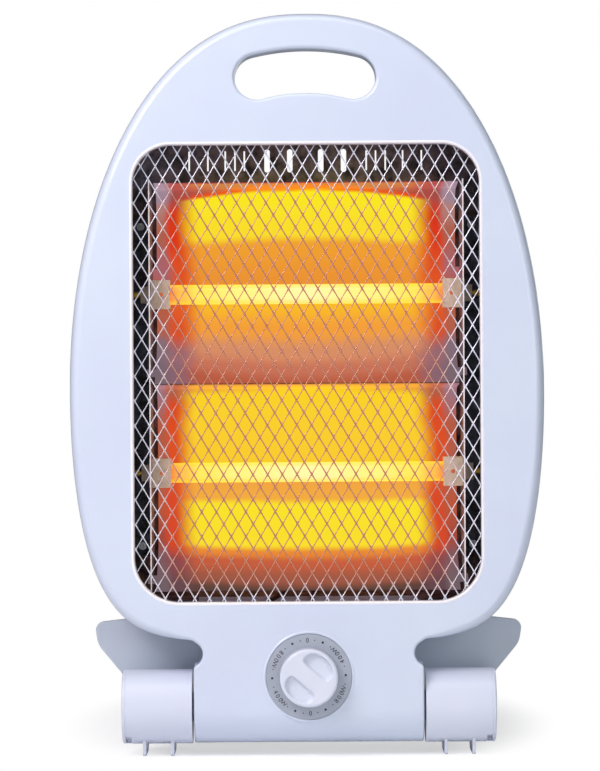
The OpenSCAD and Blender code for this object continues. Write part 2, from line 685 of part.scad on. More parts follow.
spigot_out = 6.6;
cap_eye_r = 1.3; // small hole in the front of a cap, over the tube
pin_r = 1.2;
pin_end = plate_x + plate_t + 11;
cap_clip_t = 1;
cap_clip_grip = 0.1;
module tube_cap(s, z) color(ceramic_cream) difference() {
  union() {
    block(s * (plate_x - cap_l), s * plate_x, tube_y - cap_y / 2, tube_y + cap_y / 2,
      z - cap_h / 2, z + cap_h / 2);
    block(s * plate_x, s * (plate_x + spigot_out), tube_y - spigot_y / 2, tube_y + spigot_y / 2,
      z - spigot_z / 2, z + spigot_z / 2);
  }
  rod_x(tube_y, z, tube_d / 2 + seat_fit, s * (plate_x - cap_l - eps), s * (tube_end + seat_fit));
  rod_x(tube_y, z, pin_r + screw_fit, s * tube_end, s * (plate_x + spigot_out + eps));
  rod_y(s * (plate_x - cap_l / 2 - 0.3), z, cap_eye_r, tube_y - cap_y / 2 - eps, tube_y - tube_d / 4);
}
module tube_cap_upper_left() tube_cap(-1, tube_hi_z);
module tube_cap_upper_right() tube_cap(1, tube_hi_z);
module tube_cap_lower_left() tube_cap(-1, tube_lo_z);
module tube_cap_lower_right() tube_cap(1, tube_lo_z);
module at_caps() for (s = [-1, 1]) for (z = [tube_hi_z, tube_lo_z]) translate([0, tube_y, z]) {
  $s = s;
  children();
}
module cap_clips() color(steel_grey) at_caps() difference() {
  block($s * (plate_x + plate_t), $s * (plate_x + plate_t + cap_clip_t), -8, 8, -8.5, 8.5);
  block($s * plate_x, $s * (plate_x + 3), -spigot_y / 2 - cap_clip_grip, spigot_y / 2 + cap_clip_grip,
    -spigot_z / 2 - cap_clip_grip, spigot_z / 2 + cap_clip_grip);
}
ferrule_x = pin_end - 4;
module tube_terminals() color(brass_tone) at_caps() {
  rod_x(0, 0, pin_r, $s * (tube_end + 0.2), $s * pin_end);
  rod_x(0, 0, pin_r + 1, $s * ferrule_x, $s * (pin_end - 0.6));
}

// Bimetal cut-out riveted to the back of the lower reflector
cutout_z = 160;
cutout_ear = 12;
rivet_r = 1.5;
cutout_y = trough_back_y + sheet_t;
module thermal_cutout() color(black_plastic) difference() {
  union() {
    rod_y(0, cutout_z, 8, cutout_y, cutout_y + 6);
    block(-cutout_ear - 3, cutout_ear + 3, cutout_y, cutout_y + 1, cutout_z - 3.5, cutout_z + 3.5);
    for (x = [-4, 4]) block(x - 1.5, x + 1.5, cutout_y + 3, cutout_y + 4, cutout_z - 13, cutout_z - 6);
  }
  for (s = [-1, 1]) rod_y(s * cutout_ear, cutout_z, rivet_r + screw_fit, cutout_y - eps, cutout_y + 2);
}
module cutout_rivets() color(steel_grey) for (s = [-1, 1]) translate([s * cutout_ear, 0, cutout_z]) {
  rod_y(0, 0, rivet_r, trough_back_y - 0.1, cutout_y + 1.1);
  rod_y(0, 0, rivet_r + 1, trough_back_y - 0.9, trough_back_y - 0.1);
  rod_y(0, 0, rivet_r + 1, cutout_y + 1.1, cutout_y + 1.9);
}

// Dial, knob and rotary switch
module dial_plate() color(dial_grey) difference() {
  rod_y(0, dial_z, dial_r, face_y + dial_recess - dial_t, face_y + dial_recess);
  rod_y(0, dial_z, shaft_r + 1.2, face_y - 2, face_y + 2);
}
knob_back_y = face_y + dial_recess - dial_t - 0.4;
knob_h = knob_back_y - knob_y;
knob_edge = 2;
knob_taper = 0.6; // how much narrower the knob is at its front
shaft_flat = shaft_r - 0.8; // distance of the flat of the D from the axis
shaft_front_y = knob_back_y - 6.2;
pocket_l = 18;
pocket_w = 10;
pocket_at = 9.8; // distance of a pocket's middle from the knob's centre
pocket_turn = 50; // direction of the first pocket from +X towards +Z
module knob_pocket() translate([0, knob_y + pocket_d, 0]) rotate([90, 0, 0]) linear_extrude(pocket_d + eps)
  translate([pocket_at, 0]) {
    square([pocket_w, pocket_l - pocket_w], center = true);
    for (s = [-1, 1]) translate([0, s * (pocket_l - pocket_w) / 2]) circle(pocket_w / 2, $fn = 48);
  }
module d_shaft(r, flat, y0, y1) difference() {
  rod_y(0, 0, r, y0, y1);
  block(-r - 1, r + 1, y0 - eps, y1 + eps, flat, r + 1);
}
module control_knob() color(knob_white) translate([0, 0, dial_z]) difference() {
  translate([0, knob_back_y, 0]) rotate([90, 0, 0]) rotate_extrude($fn = 96) polygon(concat(
    [[0, 0], [knob_r, 0]],
    [for (a = [0:15:90])
      [knob_r - knob_taper - knob_edge * (1 - cos(a)), knob_h - knob_edge * (1 - sin(a))]],
    [[0, knob_h]]
  ));
  for (a = [0, 180]) rotate([0, -pocket_turn - a, 0]) knob_pocket();
  difference() {
    rod_y(0, 0, knob_r - 2.4, knob_back_y - 2, knob_back_y + eps);
    rod_y(0, 0, shaft_r + 2.6, knob_back_y - 3, knob_back_y + 1);
  }
  d_shaft(shaft_r + shaft_fit, shaft_flat + shaft_fit, shaft_front_y - 0.3, knob_back_y + eps);
}
cam_r = 8.5;
cam_y0 = switch_front_y + 4;
cam_y1 = cam_y0 + 6;
module switch_shaft() color(steel_grey) translate([0, 0, dial_z]) {
  d_shaft(shaft_r, shaft_flat, shaft_front_y, knob_back_y + 0.2);
  rod_y(0, 0, shaft_r, knob_back_y + 0.2, cam_y1 + 3);
  rod_y(0, 0, cam_r, cam_y0, cam_y1);
}
switch_back_y = switch_front_y + switch_d;
module switch_body() color(black_plastic) translate([0, 0, dial_z]) difference() {
  union() {
    block(-switch_w / 2, switch_w / 2, switch_front_y, switch_back_y, -switch_h / 2, switch_h / 2);
    rod_y(0, 0, bush_r, face_y + dial_recess + 0.2, switch_front_y + 1);
  }
  rod_y(0, 0, shaft_r + shaft_fit, face_y, switch_front_y + 5);
  rod_y(0, 0, cam_r + 0.8, cam_y0 - 0.6, switch_back_y + eps);
  for (s = [-1, 1]) rod_y(s * switch_screw_x, 0, small_screw_r + screw_fit, switch_front_y - eps, cam_y0 - 1);
}
module switch_cover() color(black_plastic) translate([0, 0, dial_z]) difference() {
  block(-switch_w / 2, switch_w / 2, switch_back_y, switch_back_y + switch_cover_t,
    -switch_h / 2, switch_h / 2);
  for (p = tab_spots) translate([p[0], 0, p[1]])
    block(-2.6, 2.6, switch_back_y - eps, switch_back_y + switch_cover_t + eps, -0.7, 0.7);
}
tab_spots = [[8, 7], [8, -7], [-8, 0]];
tab_y1 = switch_back_y + switch_cover_t + 6;
module switch_terminals() color(brass_tone) for (p = tab_spots) translate([p[0], 0, dial_z + p[1]])
  block(-2.4, 2.4, switch_back_y + 0.2, tab_y1, -0.4, 0.4);
module switch_screws() color(steel_grey) for (s = [-1, 1])
  translate([s * switch_screw_x, face_y + dial_recess + small_head_h, dial_z])
    screw_y(small_screw_r, small_head_r, small_head_h - 0.2, pad_d - dial_recess - small_head_h + 2.6, -1);

// Tip-over switch: a weight hangs on a pin in a case and swings when the heater leans
pend_y = tip_y + tip_d / 2;
pend_z = tip_z + tip_h - 5;
pend_pin_r = 1;
pend_l = 15;
weight_r = 3.2;
module tip_switch_case() color(black_plastic) difference() {
  union() {
    block(tip_x - tip_w / 2, tip_x + tip_w / 2, tip_y, tip_y + tip_d, tip_z, tip_z + tip_h);
    block(tip_x - 5, tip_x + 5, tip_y, tip_y + 2, tip_z - 2 * tip_ear, tip_z + tip_h + 2 * tip_ear);
  }
  block(tip_x - tip_w / 2 + tip_wall, tip_x + tip_w / 2 + eps, tip_y + tip_wall, tip_y + tip_d - tip_wall,
    tip_z + tip_wall, tip_z + tip_h - tip_wall);
  rod_x(pend_y, pend_z, pend_pin_r + shaft_fit, tip_x - tip_w / 2 - eps, tip_x - tip_w / 2 + tip_wall + eps);
  for (z = tip_screw_zs) rod_y(tip_x, z, small_screw_r + screw_fit, tip_y - eps, tip_y + 3);
}
module tip_switch_cover() color(black_plastic) difference() {
  block(tip_x + tip_w / 2, tip_x + tip_w / 2 + 1.4, tip_y, tip_y + tip_d, tip_z, tip_z + tip_h);
  rod_x(pend_y, pend_z, pend_pin_r + shaft_fit, tip_x + tip_w / 2 - eps, tip_x + tip_w / 2 + 2);
}
module tip_switch_pin() color(steel_grey)
  rod_x(pend_y, pend_z, pend_pin_r, tip_x - tip_w / 2 + 0.2, tip_x + tip_w / 2 + 1.2);
module tip_switch_pendulum() color(brass_tone) difference() {
  union() {
    rod_x(pend_y, pend_z, 2.6, tip_x - 3, tip_x + 3);
    block(tip_x - 1, tip_x + 1, pend_y - 1.2, pend_y + 1.2, pend_z - pend_l, pend_z);
    rod_x(pend_y, pend_z - pend_l, weight_r, tip_x - 6, tip_x + 6);
  }
  rod_x(pend_y, pend_z, pend_pin_r + shaft_fit, tip_x - 4, tip_x + 4);
}
module tip_switch_screws() color(steel_grey) for (z = tip_screw_zs) translate([tip_x, tip_y + 2, z])
  screw_y(small_screw_r, small_head_r, small_head_h, 8, 1);

// Terminal block on the back wall of the neck, with one way each for live, neutral and earth
block_back_y = seam_y + neck_d - wall - 0.8;
block_mid_y = block_back_y - block_d / 2;
way_pitch = 6.4;
module terminal_block() color(ceramic_cream) difference() {
  block(block_x - block_w / 2, block_x + block_w / 2, block_back_y - block_d, block_back_y,
    block_z, block_z + block_h);
  for (i = [-1:1])
    rod_z(block_x + i * way_pitch, way_y, 1.9, block_z - eps, block_z + block_h + eps);
  for (s = [-1, 1]) {
    rod_y(block_x + s * (block_w / 2 - 3), block_z + block_h / 2, small_screw_r + screw_fit,
      block_back_y - block_d - eps, block_back_y + eps);
    rod_y(block_x + s * (block_w / 2 - 3), block_z + block_h / 2, small_head_r + screw_fit,
      block_back_y - block_d - eps, block_back_y - 4);
  }
}
module rod_z(x, y, r, z0, z1) translate([x, y, z0]) cylinder(r = r, h = z1 - z0, $fn = 48);
module terminal_block_screws() color(steel_grey) for (s = [-1, 1])
  translate([block_x + s * (block_w / 2 - 3), block_back_y - 4, block_z + block_h / 2])
    screw_y(small_screw_r, small_head_r, small_head_h, 4 + wall - 0.1, -1);

// Cord gland in the round back of the pedestal
gland_r = cord_r + 2.4;
gland_flange = 2.4;
module cord_gland() color(black_plastic) difference() {
  union() {
    rod_y(gland_x, axis_z, gland_r, seam_y + ped_r - wall - 4, seam_y + ped_r + 0.4);
    rod_y(gland_x, axis_z, gland_r + gland_flange, seam_y + ped_r + 0.3, seam_y + ped_r + 2.3);
  }
  rod_y(gland_x, axis_z, cord_r, seam_y, back_y);
}

// Wires inside the housing, each a route of points chosen by hand from one terminal to the next
gap_x = pin_end + 2.6; // line down the space beside an end plate
duck_y = seam_y - 3.5; // depth at which the wires pass under the reflectors
duck_z = open_z0 - 1.2;
way_y = block_mid_y - 1.5; // axis of the ways through the terminal block
tip_back_y = tip_y + tip_d;
module wire_tube_link() color(black_plastic) wire([
  [-pin_end - 0.3, tube_y, tube_hi_z], [-gap_x, tube_y, tube_hi_z], [-gap_x, tube_y, tube_hi_z - 12],
  [-gap_x, tube_y, tube_lo_z + 24], [-ferrule_x - 1.6, tube_y, tube_lo_z + 12],
  [-ferrule_x - 1.6, tube_y, tube_lo_z + pin_r + 1.4]
]);
module wire_neutral() color(black_plastic) wire([
  [-pin_end - 0.3, tube_y, tube_lo_z], [-gap_x, tube_y, tube_lo_z], [-gap_x, tube_y - 3, tube_lo_z - 14],
  [-gap_x + 2, tube_y - 8, 118], [-99, duck_y, duck_z], [-84, duck_y, duck_z], [-60, duck_y, 88],
  [0, duck_y, 86], [22, duck_y, 86], [block_x - way_pitch, duck_y + 3, 84],
  [block_x - way_pitch, way_y, 80], [block_x - way_pitch, way_y, block_z + block_h + 0.3]
]);
module wire_upper_tube() color(black_plastic) wire([
  [pin_end + 0.3, tube_y, tube_hi_z], [gap_x, tube_y, tube_hi_z], [gap_x, tube_y + 6, tube_hi_z - 14],
  [gap_x, tube_y + 7, tube_lo_z], [gap_x - 2, tube_y + 2, 122], [99, duck_y + 2.2, duck_z],
  [84, duck_y + 2.2, duck_z], [58, duck_y + 3.2, 86], [18, duck_y + 3.2, 70], [8, tab_y1 + 5, dial_z + 14],
  [8, tab_y1 + 3, dial_z + 7], [8, tab_y1 + 0.3, dial_z + 7]
]);
module wire_lower_tube() color(black_plastic) wire([
  [pin_end + 0.3, tube_y, tube_lo_z], [gap_x, tube_y, tube_lo_z], [gap_x, tube_y - 4, tube_lo_z - 14],
  [gap_x - 2, tube_y - 8, 118], [99, duck_y - 2, duck_z], [84, duck_y - 2, duck_z], [60, duck_y - 2, 84],
  [22, duck_y, 66], [14, tab_y1 + 4, dial_z - 2], [8, tab_y1 + 4, dial_z - 7], [8, tab_y1 + 0.3, dial_z - 7]
]);
module wire_live() color(black_plastic) wire([
  [block_x, way_y, block_z + block_h + 0.3], [block_x, way_y, 78], [34, 5.6, 80], [24, 7, 79],
  [4, 7.2, 79], [-12, 6.6, 77], [tip_x + 14, tip_back_y + 4, 71], [tip_x + 5, tip_back_y + 4, 66],
  [tip_x + 5, tip_back_y + 0.3, 66]
]);
module wire_cutout_feed() color(black_plastic) wire([
  [tip_x - 4, tip_back_y + 0.3, 66], [tip_x - 4, tip_back_y + 4, 66], [tip_x - 3, seam_y + 9, 76],
  [tip_x, seam_y + 8, 86], [-20, seam_y + 8, 94], [-8, tube_y + 6, 101], [-4, trough_back_y, 114],
  [-4, cutout_y + 3.5, 124], [-4, cutout_y + 3.5, cutout_z - 13.3]
]);
module wire_cutout_return() color(black_plastic) wire([
  [4, cutout_y + 3.5, cutout_z - 13.3], [4, cutout_y + 3.5, 124], [4, trough_back_y, 114],
  [4, tube_y + 6, 101], [2, seam_y + 8, 92], [-2, seam_y + 7.6, 72], [-8, tab_y1 + 6, dial_z + 4],
  [-8, tab_y1 + 3, dial_z], [-8, tab_y1 + 0.3, dial_z]
]);
module wire_earth() color(black_plastic) wire([
  [block_x + way_pitch, way_y, block_z + block_h + 0.3], [block_x + way_pitch, way_y, 80],
  [56, 0, 88], [70, seam_y + 3.6, 92.6], [84, seam_y + 3.6, 92.8],
  [plate_x + plate_t / 2, seam_y + 3.6, 92.8],
  [plate_x + plate_t / 2, seam_y + 3.6, trough_low - 2.3]
]);

// Feet: a hollow barrel on the hinge axis, a plate that stands up behind the heater and two ribs under it
barrel_x0 = ped_x + foot_gap;
barrel_x1 = barrel_x0 + foot_l;
foot_web = 3;
foot_clear = foot_r - foot_wall; // front face of the plate, behind the hinge axis
plate_in = ped_x - 11.2;
rib_reach = axis_z; // ribs reach as far behind the axis as below it, so the height is the same both ways
rib_xs = [barrel_x0 + 12.2, barrel_x0 + 29.1];
cap_x1 = barrel_x1 + foot_cap_t;
plate_low = 12; // where the plate clears the foot cap, above the hinge
function plate_corners() = [
  [barrel_x0, -2, 0],
  [barrel_x0, ped_r + 0.6, 1.5],
  [plate_in, ped_r + 0.6, 4],
  [plate_in, plate_up + 0.6, 8],
  [(plate_in + cap_x1) / 2 + 11, plate_up + 0.4, 70],
  [cap_x1 + plate_flare, plate_up - 3.6, 5],
  [cap_x1 + plate_flare - 1.9, plate_up - 16.8, 14],
  [cap_x1 + 0.8, plate_up - 35.5, 10],
  [cap_x1, plate_low, 0],
  [barrel_x1, plate_low, 0],
  [barrel_x1, -2, 0]
];
function skirt_corners() = [for (i = [4:8]) plate_corners()[i]];
skirt_t = 2;
skirt_d = 5;
function rib_corners() = [
  [-foot_r * 0.5, -foot_r * 0.82, 0],
  [-9.5, -rib_reach, 2],
  [rib_reach, -rib_reach, 9],
  [rib_reach, plate_up - 14, 12],
  [foot_r + 2, plate_up - 3, 0],
  [foot_clear + 1, plate_up - 3, 0],
  [foot_clear + 1, -foot_r * 0.4, 0]
];
// Draws a right foot about its hinge axis and turns it over for the left side
module at_foot(s) translate([0, seam_y, axis_z]) mirror([s < 0 ? 1 : 0, 0, 0]) children();
module foot(s) color(foot_white) at_foot(s) {
  difference() {
    union() {
      rod_x(0, 0, foot_r, barrel_x0, barrel_x1);
      along_y(foot_clear, foot_r) polygon(rounded_loop(plate_corners(), 6));
      along_y(foot_clear, foot_r + skirt_d)
        polygon(sheet_outline(rounded_line(skirt_corners(), 6), -skirt_t));
      for (x = rib_xs) along_x(x - rib_t / 2, x + rib_t / 2) polygon(rounded_loop(rib_corners(), 6));
    }
    rod_x(0, 0, foot_r - foot_wall, barrel_x0 + foot_web, barrel_x1 + eps);
    rod_x(0, 0, foot_screw_r + screw_fit, barrel_x0 - eps, barrel_x0 + foot_web + eps);
    // Pry notch at the lower front of the outer end, where the cap is levered out
    rotate([pry_turn, 0, 0])
      block(barrel_x1 - pry_w, barrel_x1 + eps, -pry_half, pry_half, -foot_r - 1, -foot_r + foot_wall + 0.5);
  }
  difference() {
    rod_x(0, 0, hub_r, hub_end_x, barrel_x0 + 0.5);
    rod_x(0, 0, foot_screw_r + screw_fit, hub_end_x - eps, barrel_x0 + foot_web + eps);
  }
}
pry_turn = -20; // from straight down towards the front
pry_w = 3.4;
pry_half = 8;
foot_screw_r = 2;
foot_head_r = 4;
foot_head_h = 3;
dome_h = 0.8;
module foot_cap(s) color(foot_white) at_foot(s) {
  translate([barrel_x1, 0, 0]) rotate([0, 90, 0]) rotate_extrude($fn = 96) polygon([
    [0, 0], [foot_r, 0], [foot_r, foot_cap_t - 0.8], [foot_r - 0.8, foot_cap_t],
    [foot_r / 2, foot_cap_t + dome_h * 0.75], [0, foot_cap_t + dome_h]
  ]);
  difference() {
    rod_x(0, 0, foot_r - foot_wall - 0.1, barrel_x1 - 5, barrel_x1 + 0.5);
    rod_x(0, 0, foot_r - foot_wall - 2, barrel_x1 - 6, barrel_x1 + 0.2);
  }
}
module foot_retainer(s) color(steel_grey) at_foot(s) difference() {
  union() {
    rod_x(0, 0, hub_r + 4, hub_end_x - retainer_disc_t, hub_end_x);
    rotate([-lug_mid, 0, 0]) intersection() {
      rod_x(0, 0, hub_r + 8, hub_end_x - retainer_disc_t, hub_end_x);
      block(0, ped_x, -(hub_r + 8) * sin(lug_half), (hub_r + 8) * sin(lug_half), hub_r + 2, hub_r + 9);
    }
  }
  rod_x(0, 0, foot_screw_r + screw_fit, hub_end_x - 3, hub_end_x + 1);
}
module foot_screw(s) color(steel_grey) at_foot(s) {
  rod_x(0, 0, foot_screw_r, hub_end_x - retainer_disc_t - 1.5, barrel_x0 + foot_web + 0.5);
  difference() {
    rod_x(0, 0, foot_head_r, barrel_x0 + foot_web, barrel_x0 + foot_web + foot_head_h);
    for (a = [0, 90]) rotate([a, 0, 0])
      block(barrel_x0 + foot_web + foot_head_h - 1.4, barrel_x0 + foot_web + 4, -2.6, 2.6, -0.5, 0.5);
  }
}
module friction_ring(s) color(black_plastic) at_foot(s) difference() {
  rod_x(0, 0, hub_r + 4.5, hub_end_x, ped_x - wall - face_gap);
  rod_x(0, 0, hub_r + 0.2, hub_end_x - 1, ped_x);
}
module foot_left() foot(-1);
module foot_right() foot(1);
module foot_cap_left() foot_cap(-1);
module foot_cap_right() foot_cap(1);
module foot_retainer_left() foot_retainer(-1);
module foot_retainer_right() foot_retainer(1);
module foot_screw_left() foot_screw(-1);
module foot_screw_right() foot_screw(1);
module friction_ring_left() friction_ring(-1);
module friction_ring_right() friction_ring(1);

front_housing();
rear_housing();
case_screws();
grille_mesh();
grille_retainer();
retainer_screws();
reflector_upper();
reflector_lower();
end_plate_left();
end_plate_right();
end_plate_screws();
quartz_tube_upper();
quartz_tube_lower();
heating_coil_upper();
heating_coil_lower();
tube_cap_upper_left();
tube_cap_upper_right();
tube_cap_lower_left();
tube_cap_lower_right();
cap_clips();
tube_terminals();
thermal_cutout();
cutout_rivets();
dial_plate();
control_knob();
switch_shaft();
switch_body();
switch_cover();
switch_terminals();
switch_screws();
tip_switch_case();
tip_switch_cover();
tip_switch_pin();
tip_switch_pendulum();
tip_switch_screws();
terminal_block();
terminal_block_screws();
cord_gland();
wire_tube_link();
wire_neutral();
wire_upper_tube();
wire_lower_tube();
wire_live();
wire_cutout_feed();
wire_cutout_return();
wire_earth();
foot_left();
foot_cap_left();
foot_retainer_left();
foot_screw_left();
friction_ring_left();
foot_right();
foot_cap_right();
foot_retainer_right();
foot_screw_right();
friction_ring_right();
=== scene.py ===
import math
import bmesh
import bpy
import numpy as np
from mathutils import Matrix, Vector
from mathutils.geometry import delaunay_2d_cdt


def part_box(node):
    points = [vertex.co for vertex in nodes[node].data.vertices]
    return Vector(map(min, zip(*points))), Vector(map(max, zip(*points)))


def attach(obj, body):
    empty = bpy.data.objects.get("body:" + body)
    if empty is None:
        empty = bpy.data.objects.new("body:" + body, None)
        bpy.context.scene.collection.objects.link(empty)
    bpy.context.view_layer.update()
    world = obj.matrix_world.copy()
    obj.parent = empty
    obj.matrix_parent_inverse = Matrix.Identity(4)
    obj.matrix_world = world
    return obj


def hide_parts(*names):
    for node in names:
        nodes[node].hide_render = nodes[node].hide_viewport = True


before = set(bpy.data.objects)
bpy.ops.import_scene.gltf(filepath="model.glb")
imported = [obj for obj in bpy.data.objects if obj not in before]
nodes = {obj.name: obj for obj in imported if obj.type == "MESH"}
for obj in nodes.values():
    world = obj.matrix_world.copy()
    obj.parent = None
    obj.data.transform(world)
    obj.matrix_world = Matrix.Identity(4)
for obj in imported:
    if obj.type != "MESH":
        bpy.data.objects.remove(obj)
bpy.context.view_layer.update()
mm = 0.001  # the shapes below are worked out in millimetres, and meshes are in metres
scene = bpy.context.scene
scene.view_settings.view_transform = "Standard"


# Makes an object of its data and puts it in the scene
def newObject(name, data):
    made = bpy.data.objects.new(name, data)
    scene.collection.objects.link(made)
    return made


# Camera: square to the front, 1.98 m from the face, level with the middle of the heater
cameraSetup = {
    "place": (-0.0042, -2.0075, 0.2234),
    "lens": 102.7,
    "sensorHeight": 24.0,
    "roll": 0.39,  # degrees; the object leans a little to the left in the picture
}
cameraData = bpy.data.cameras.new("camera")
cameraData.sensor_fit = "VERTICAL"
cameraData.sensor_height = cameraSetup["sensorHeight"]
cameraData.lens = cameraSetup["lens"]
camera = newObject("camera", cameraData)
camera.matrix_world = (
    Matrix.Translation(cameraSetup["place"])
    @ Matrix.Rotation(math.radians(90), 4, "X")
    @ Matrix.Rotation(math.radians(-cameraSetup["roll"]), 4, "Z")
)
scene.camera = camera


# Colours are written as sRGB hex and turned to linear here
def linear(hexColour):
    parts = [int(hexColour[i:i + 2], 16) / 255 for i in (1, 3, 5)]
    return (*[p / 12.92 if p <= 0.04045 else ((p + 0.055) / 1.055) ** 2.4 for p in parts], 1.0)


# The add-node function of a tree. Its setting is the node's operation or a dictionary of properties, and its
# inputs are values, sockets, or nodes for their first output; in0 is the first input
def nodeAdder(tree):
    def addNode(kind, setting=None, **inputs):
        node = tree.nodes.new("ShaderNode" + kind)
        if isinstance(setting, str):
            setting = {"operation": setting}
        for key, value in (setting or {}).items():
            setattr(node, key, value)
        for key, value in inputs.items():
            numbered = key[:2] == "in" and key[2:].isdigit()
            socket = node.inputs[int(key[2:]) if numbered else key.replace("_", " ")]
            if isinstance(value, bpy.types.Node):
                value = value.outputs[0]
            if isinstance(value, bpy.types.NodeSocket):
                tree.links.new(value, socket)
            else:
                socket.default_value = value
        return node

    return addNode


smooth = {"interpolation_type": "SMOOTHSTEP"}
ofColours = {"data_type": "RGBA"}


# A ramp through given (position, hex colour) stops
def setStops(ramp, stops, mode="LINEAR"):
    ramp.interpolation = mode
    while len(ramp.elements) < len(stops):
        ramp.elements.new(0.5)
    for element, (place, colour) in zip(ramp.elements, stops):
        element.position = place
        element.color = linear(colour)


# A new empty material, its add-node function and its object coordinates
def newMaterial(name):
    material = bpy.data.materials.new(name)
    material.use_nodes = True
    material.node_tree.nodes.clear()
    addNode = nodeAdder(material.node_tree)
    return material, addNode, addNode("TexCoord").outputs["Object"]


# Two close tones mixed by cloudy noise, and a bump of grain on slow waves. Sizes are of cloud, grain and wave
# in millimetres, bumps are the strengths of wave and grain, and recolour changes the colour by place
def solidMaterial(name, tones, sizes, rough, bumps, ior=None, metallic=0.0, coat=0.0, recolour=None):
    material, addNode, coords = newMaterial(name)
    cloud, grain, wave = [
        addNode("TexNoise", Vector=coords, Scale=1000 / size, Detail=detail)
        for size, detail in zip(sizes, (3.0, 2.0, 1.0))
    ]
    colour = addNode("ValToRGB", Fac=cloud)
    setStops(colour.color_ramp, [(0.3, tones[0]), (0.7, tones[1])])
    if recolour:
        colour = recolour(addNode, coords, colour)
    spread = addNode("MapRange", Value=grain, To_Min=rough[0], To_Max=rough[1])
    slow = addNode("Bump", Height=wave, Strength=bumps[0], Distance=0.001)
    fine = addNode("Bump", Height=grain, Strength=bumps[1], Distance=0.0002, Normal=slow)
    shader = addNode("BsdfPrincipled", Base_Color=colour, Metallic=metallic, Roughness=spread, Normal=fine,
                     Coat_Weight=coat, Coat_Roughness=0.12)
    if ior:
        shader.inputs["IOR"].default_value = ior
    addNode("OutputMaterial", Surface=shader)
    return material


# Where the wire hangs before the glow it is painted straw to brown, the painted light of the glow on the
# wire; sizes in millimetres
glowLitField = {"halfX": 86, "lowZ": 102, "highZ": 344, "blend": 9, "tint": "#CC8C74"}


def paintGlowOnWire(addNode, coords, chrome):
    split = addNode("SeparateXYZ", Vector=coords)
    low, high, blend = glowLitField["lowZ"], glowLitField["highZ"], glowLitField["blend"]
    # distance outside the field of painted glow light along each axis, then how far into the blend it reaches
    beyond = []
    for axis, middle, half in (("X", 0, glowLitField["halfX"]), ("Z", (low + high) / 2, (high - low) / 2)):
        off = addNode("Math", "SUBTRACT", in0=split.outputs[axis], in1=middle * mm)
        size = addNode("Math", "ABSOLUTE", in0=off)
        beyond.append(addNode("Math", "SUBTRACT", in0=size, in1=half * mm))
    far = addNode("Math", "MAXIMUM", in0=beyond[0], in1=beyond[1])
    glowLight = addNode("MapRange", smooth, Value=far, From_Min=-blend * mm, From_Max=blend * mm, To_Min=1.0,
                   To_Max=0.0)
    # within the field the wire takes the painted glow light
    mix = addNode("Mix", ofColours, Factor=glowLight, in6=chrome, in7=linear(glowLitField["tint"]))
    return mix.outputs[2]


# The cut front edges of the end plates carry a painted highlight, pale pink-white: the first 0.1 mm behind
# their front
def paintedEdgeHighlight(addNode, coords, shadeAndSheen):
    split = addNode("SeparateXYZ", Vector=coords)
    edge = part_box("end_plate_left")[0][1] + 0.1 * mm
    behind = addNode("Math", "GREATER_THAN", in0=split.outputs["Y"], in1=edge)
    mix = addNode("Mix", ofColours, Factor=behind, in6=linear("#FBEDEC"), in7=shadeAndSheen)
    return mix.outputs[2]


# ABS, injection moulded in a satin tool: cool white with soft highlights and a faint orange peel
mouldedWhiteAbs = solidMaterial(
    "mouldedWhiteAbs", ("#D0D9EC", "#D6E0EF"), sizes=(90, 0.7, 26), rough=(0.3, 0.38), bumps=(0.05, 0.08),
    ior=1.5, coat=0.6
)
# The same ABS for the feet, moulded a little warmer
mouldedFootAbs = solidMaterial(
    "mouldedFootAbs", ("#D6DBEC", "#DBE1EE"), sizes=(60, 0.7, 22), rough=(0.32, 0.42), bumps=(0.06, 0.1),
    ior=1.5, coat=0.4
)
# The bead round the grille opening: the same ABS painted whiter there, a painted highlight all round the
# opening
highlightRimAbs = solidMaterial(
    "highlightRimAbs", ("#F3F3FB", "#F8F8FC"), sizes=(40, 0.6, 20), rough=(0.18, 0.26), bumps=(0.04, 0.05),
    ior=1.5, coat=0.8
)
# The plates of the feet: the ABS painted grey, a painted shade of the body above them, and matt
shadedPlateAbs = solidMaterial(
    "shadedPlateAbs", ("#B6BFCB", "#BDC5D0"), sizes=(50, 0.5, 18), rough=(0.55, 0.7), bumps=(0.05, 0.3),
    ior=1.5
)
# ABS from a polished tool: the knob is whiter and glossier than the housing
polishedKnobAbs = solidMaterial(
    "polishedKnobAbs", ("#D8DEEB", "#DEE3EF"), sizes=(25, 0.5, 12), rough=(0.2, 0.28), bumps=(0.06, 0.06),
    ior=1.5, coat=0.3
)
# Polycarbonate with silver-grey screen print: satin, with the slight speckle of its flakes
silverPrintPlate = solidMaterial(
    "silverPrintPlate", ("#A9B0BC", "#B0B6C1"), sizes=(8, 0.35, 20), rough=(0.34, 0.5), bumps=(0.03, 0.2),
    metallic=0.25
)
# Steel sheet with bright zinc plating: grey, with a slight cloudiness
zincPlatedSteel = solidMaterial(
    "zincPlatedSteel", ("#B4B6B9", "#C3C5C6"), sizes=(7, 0.5, 9), rough=(0.22, 0.4), bumps=(0.08, 0.25),
    metallic=1.0
)
# Steel wire with bright chrome; its near-white colour, partly diffuse, is a painted reflection of the white
# room in front of it
chromedSteelWire = solidMaterial(
    "chromedSteelWire", ("#F0F1F9", "#E3E5F3"), sizes=(5, 0.6, 6), rough=(0.3, 0.45), bumps=(0.1, 0.2),
    metallic=0.7, recolour=paintGlowOnWire
)
# Steatite, pressed and fired: cream, dry and faintly speckled
firedSteatite = solidMaterial(
    "firedSteatite", ("#E4CDB2", "#D6BCA4"), sizes=(3, 0.45, 8), rough=(0.55, 0.75), bumps=(0.08, 0.4),
    ior=1.6
)
# Brass strip, stamped: yellow with dull patches
stampedBrass = solidMaterial(
    "stampedBrass", ("#D8B35C", "#C49B47"), sizes=(3, 0.4, 6), rough=(0.25, 0.45), bumps=(0.06, 0.25),
    metallic=1.0
)
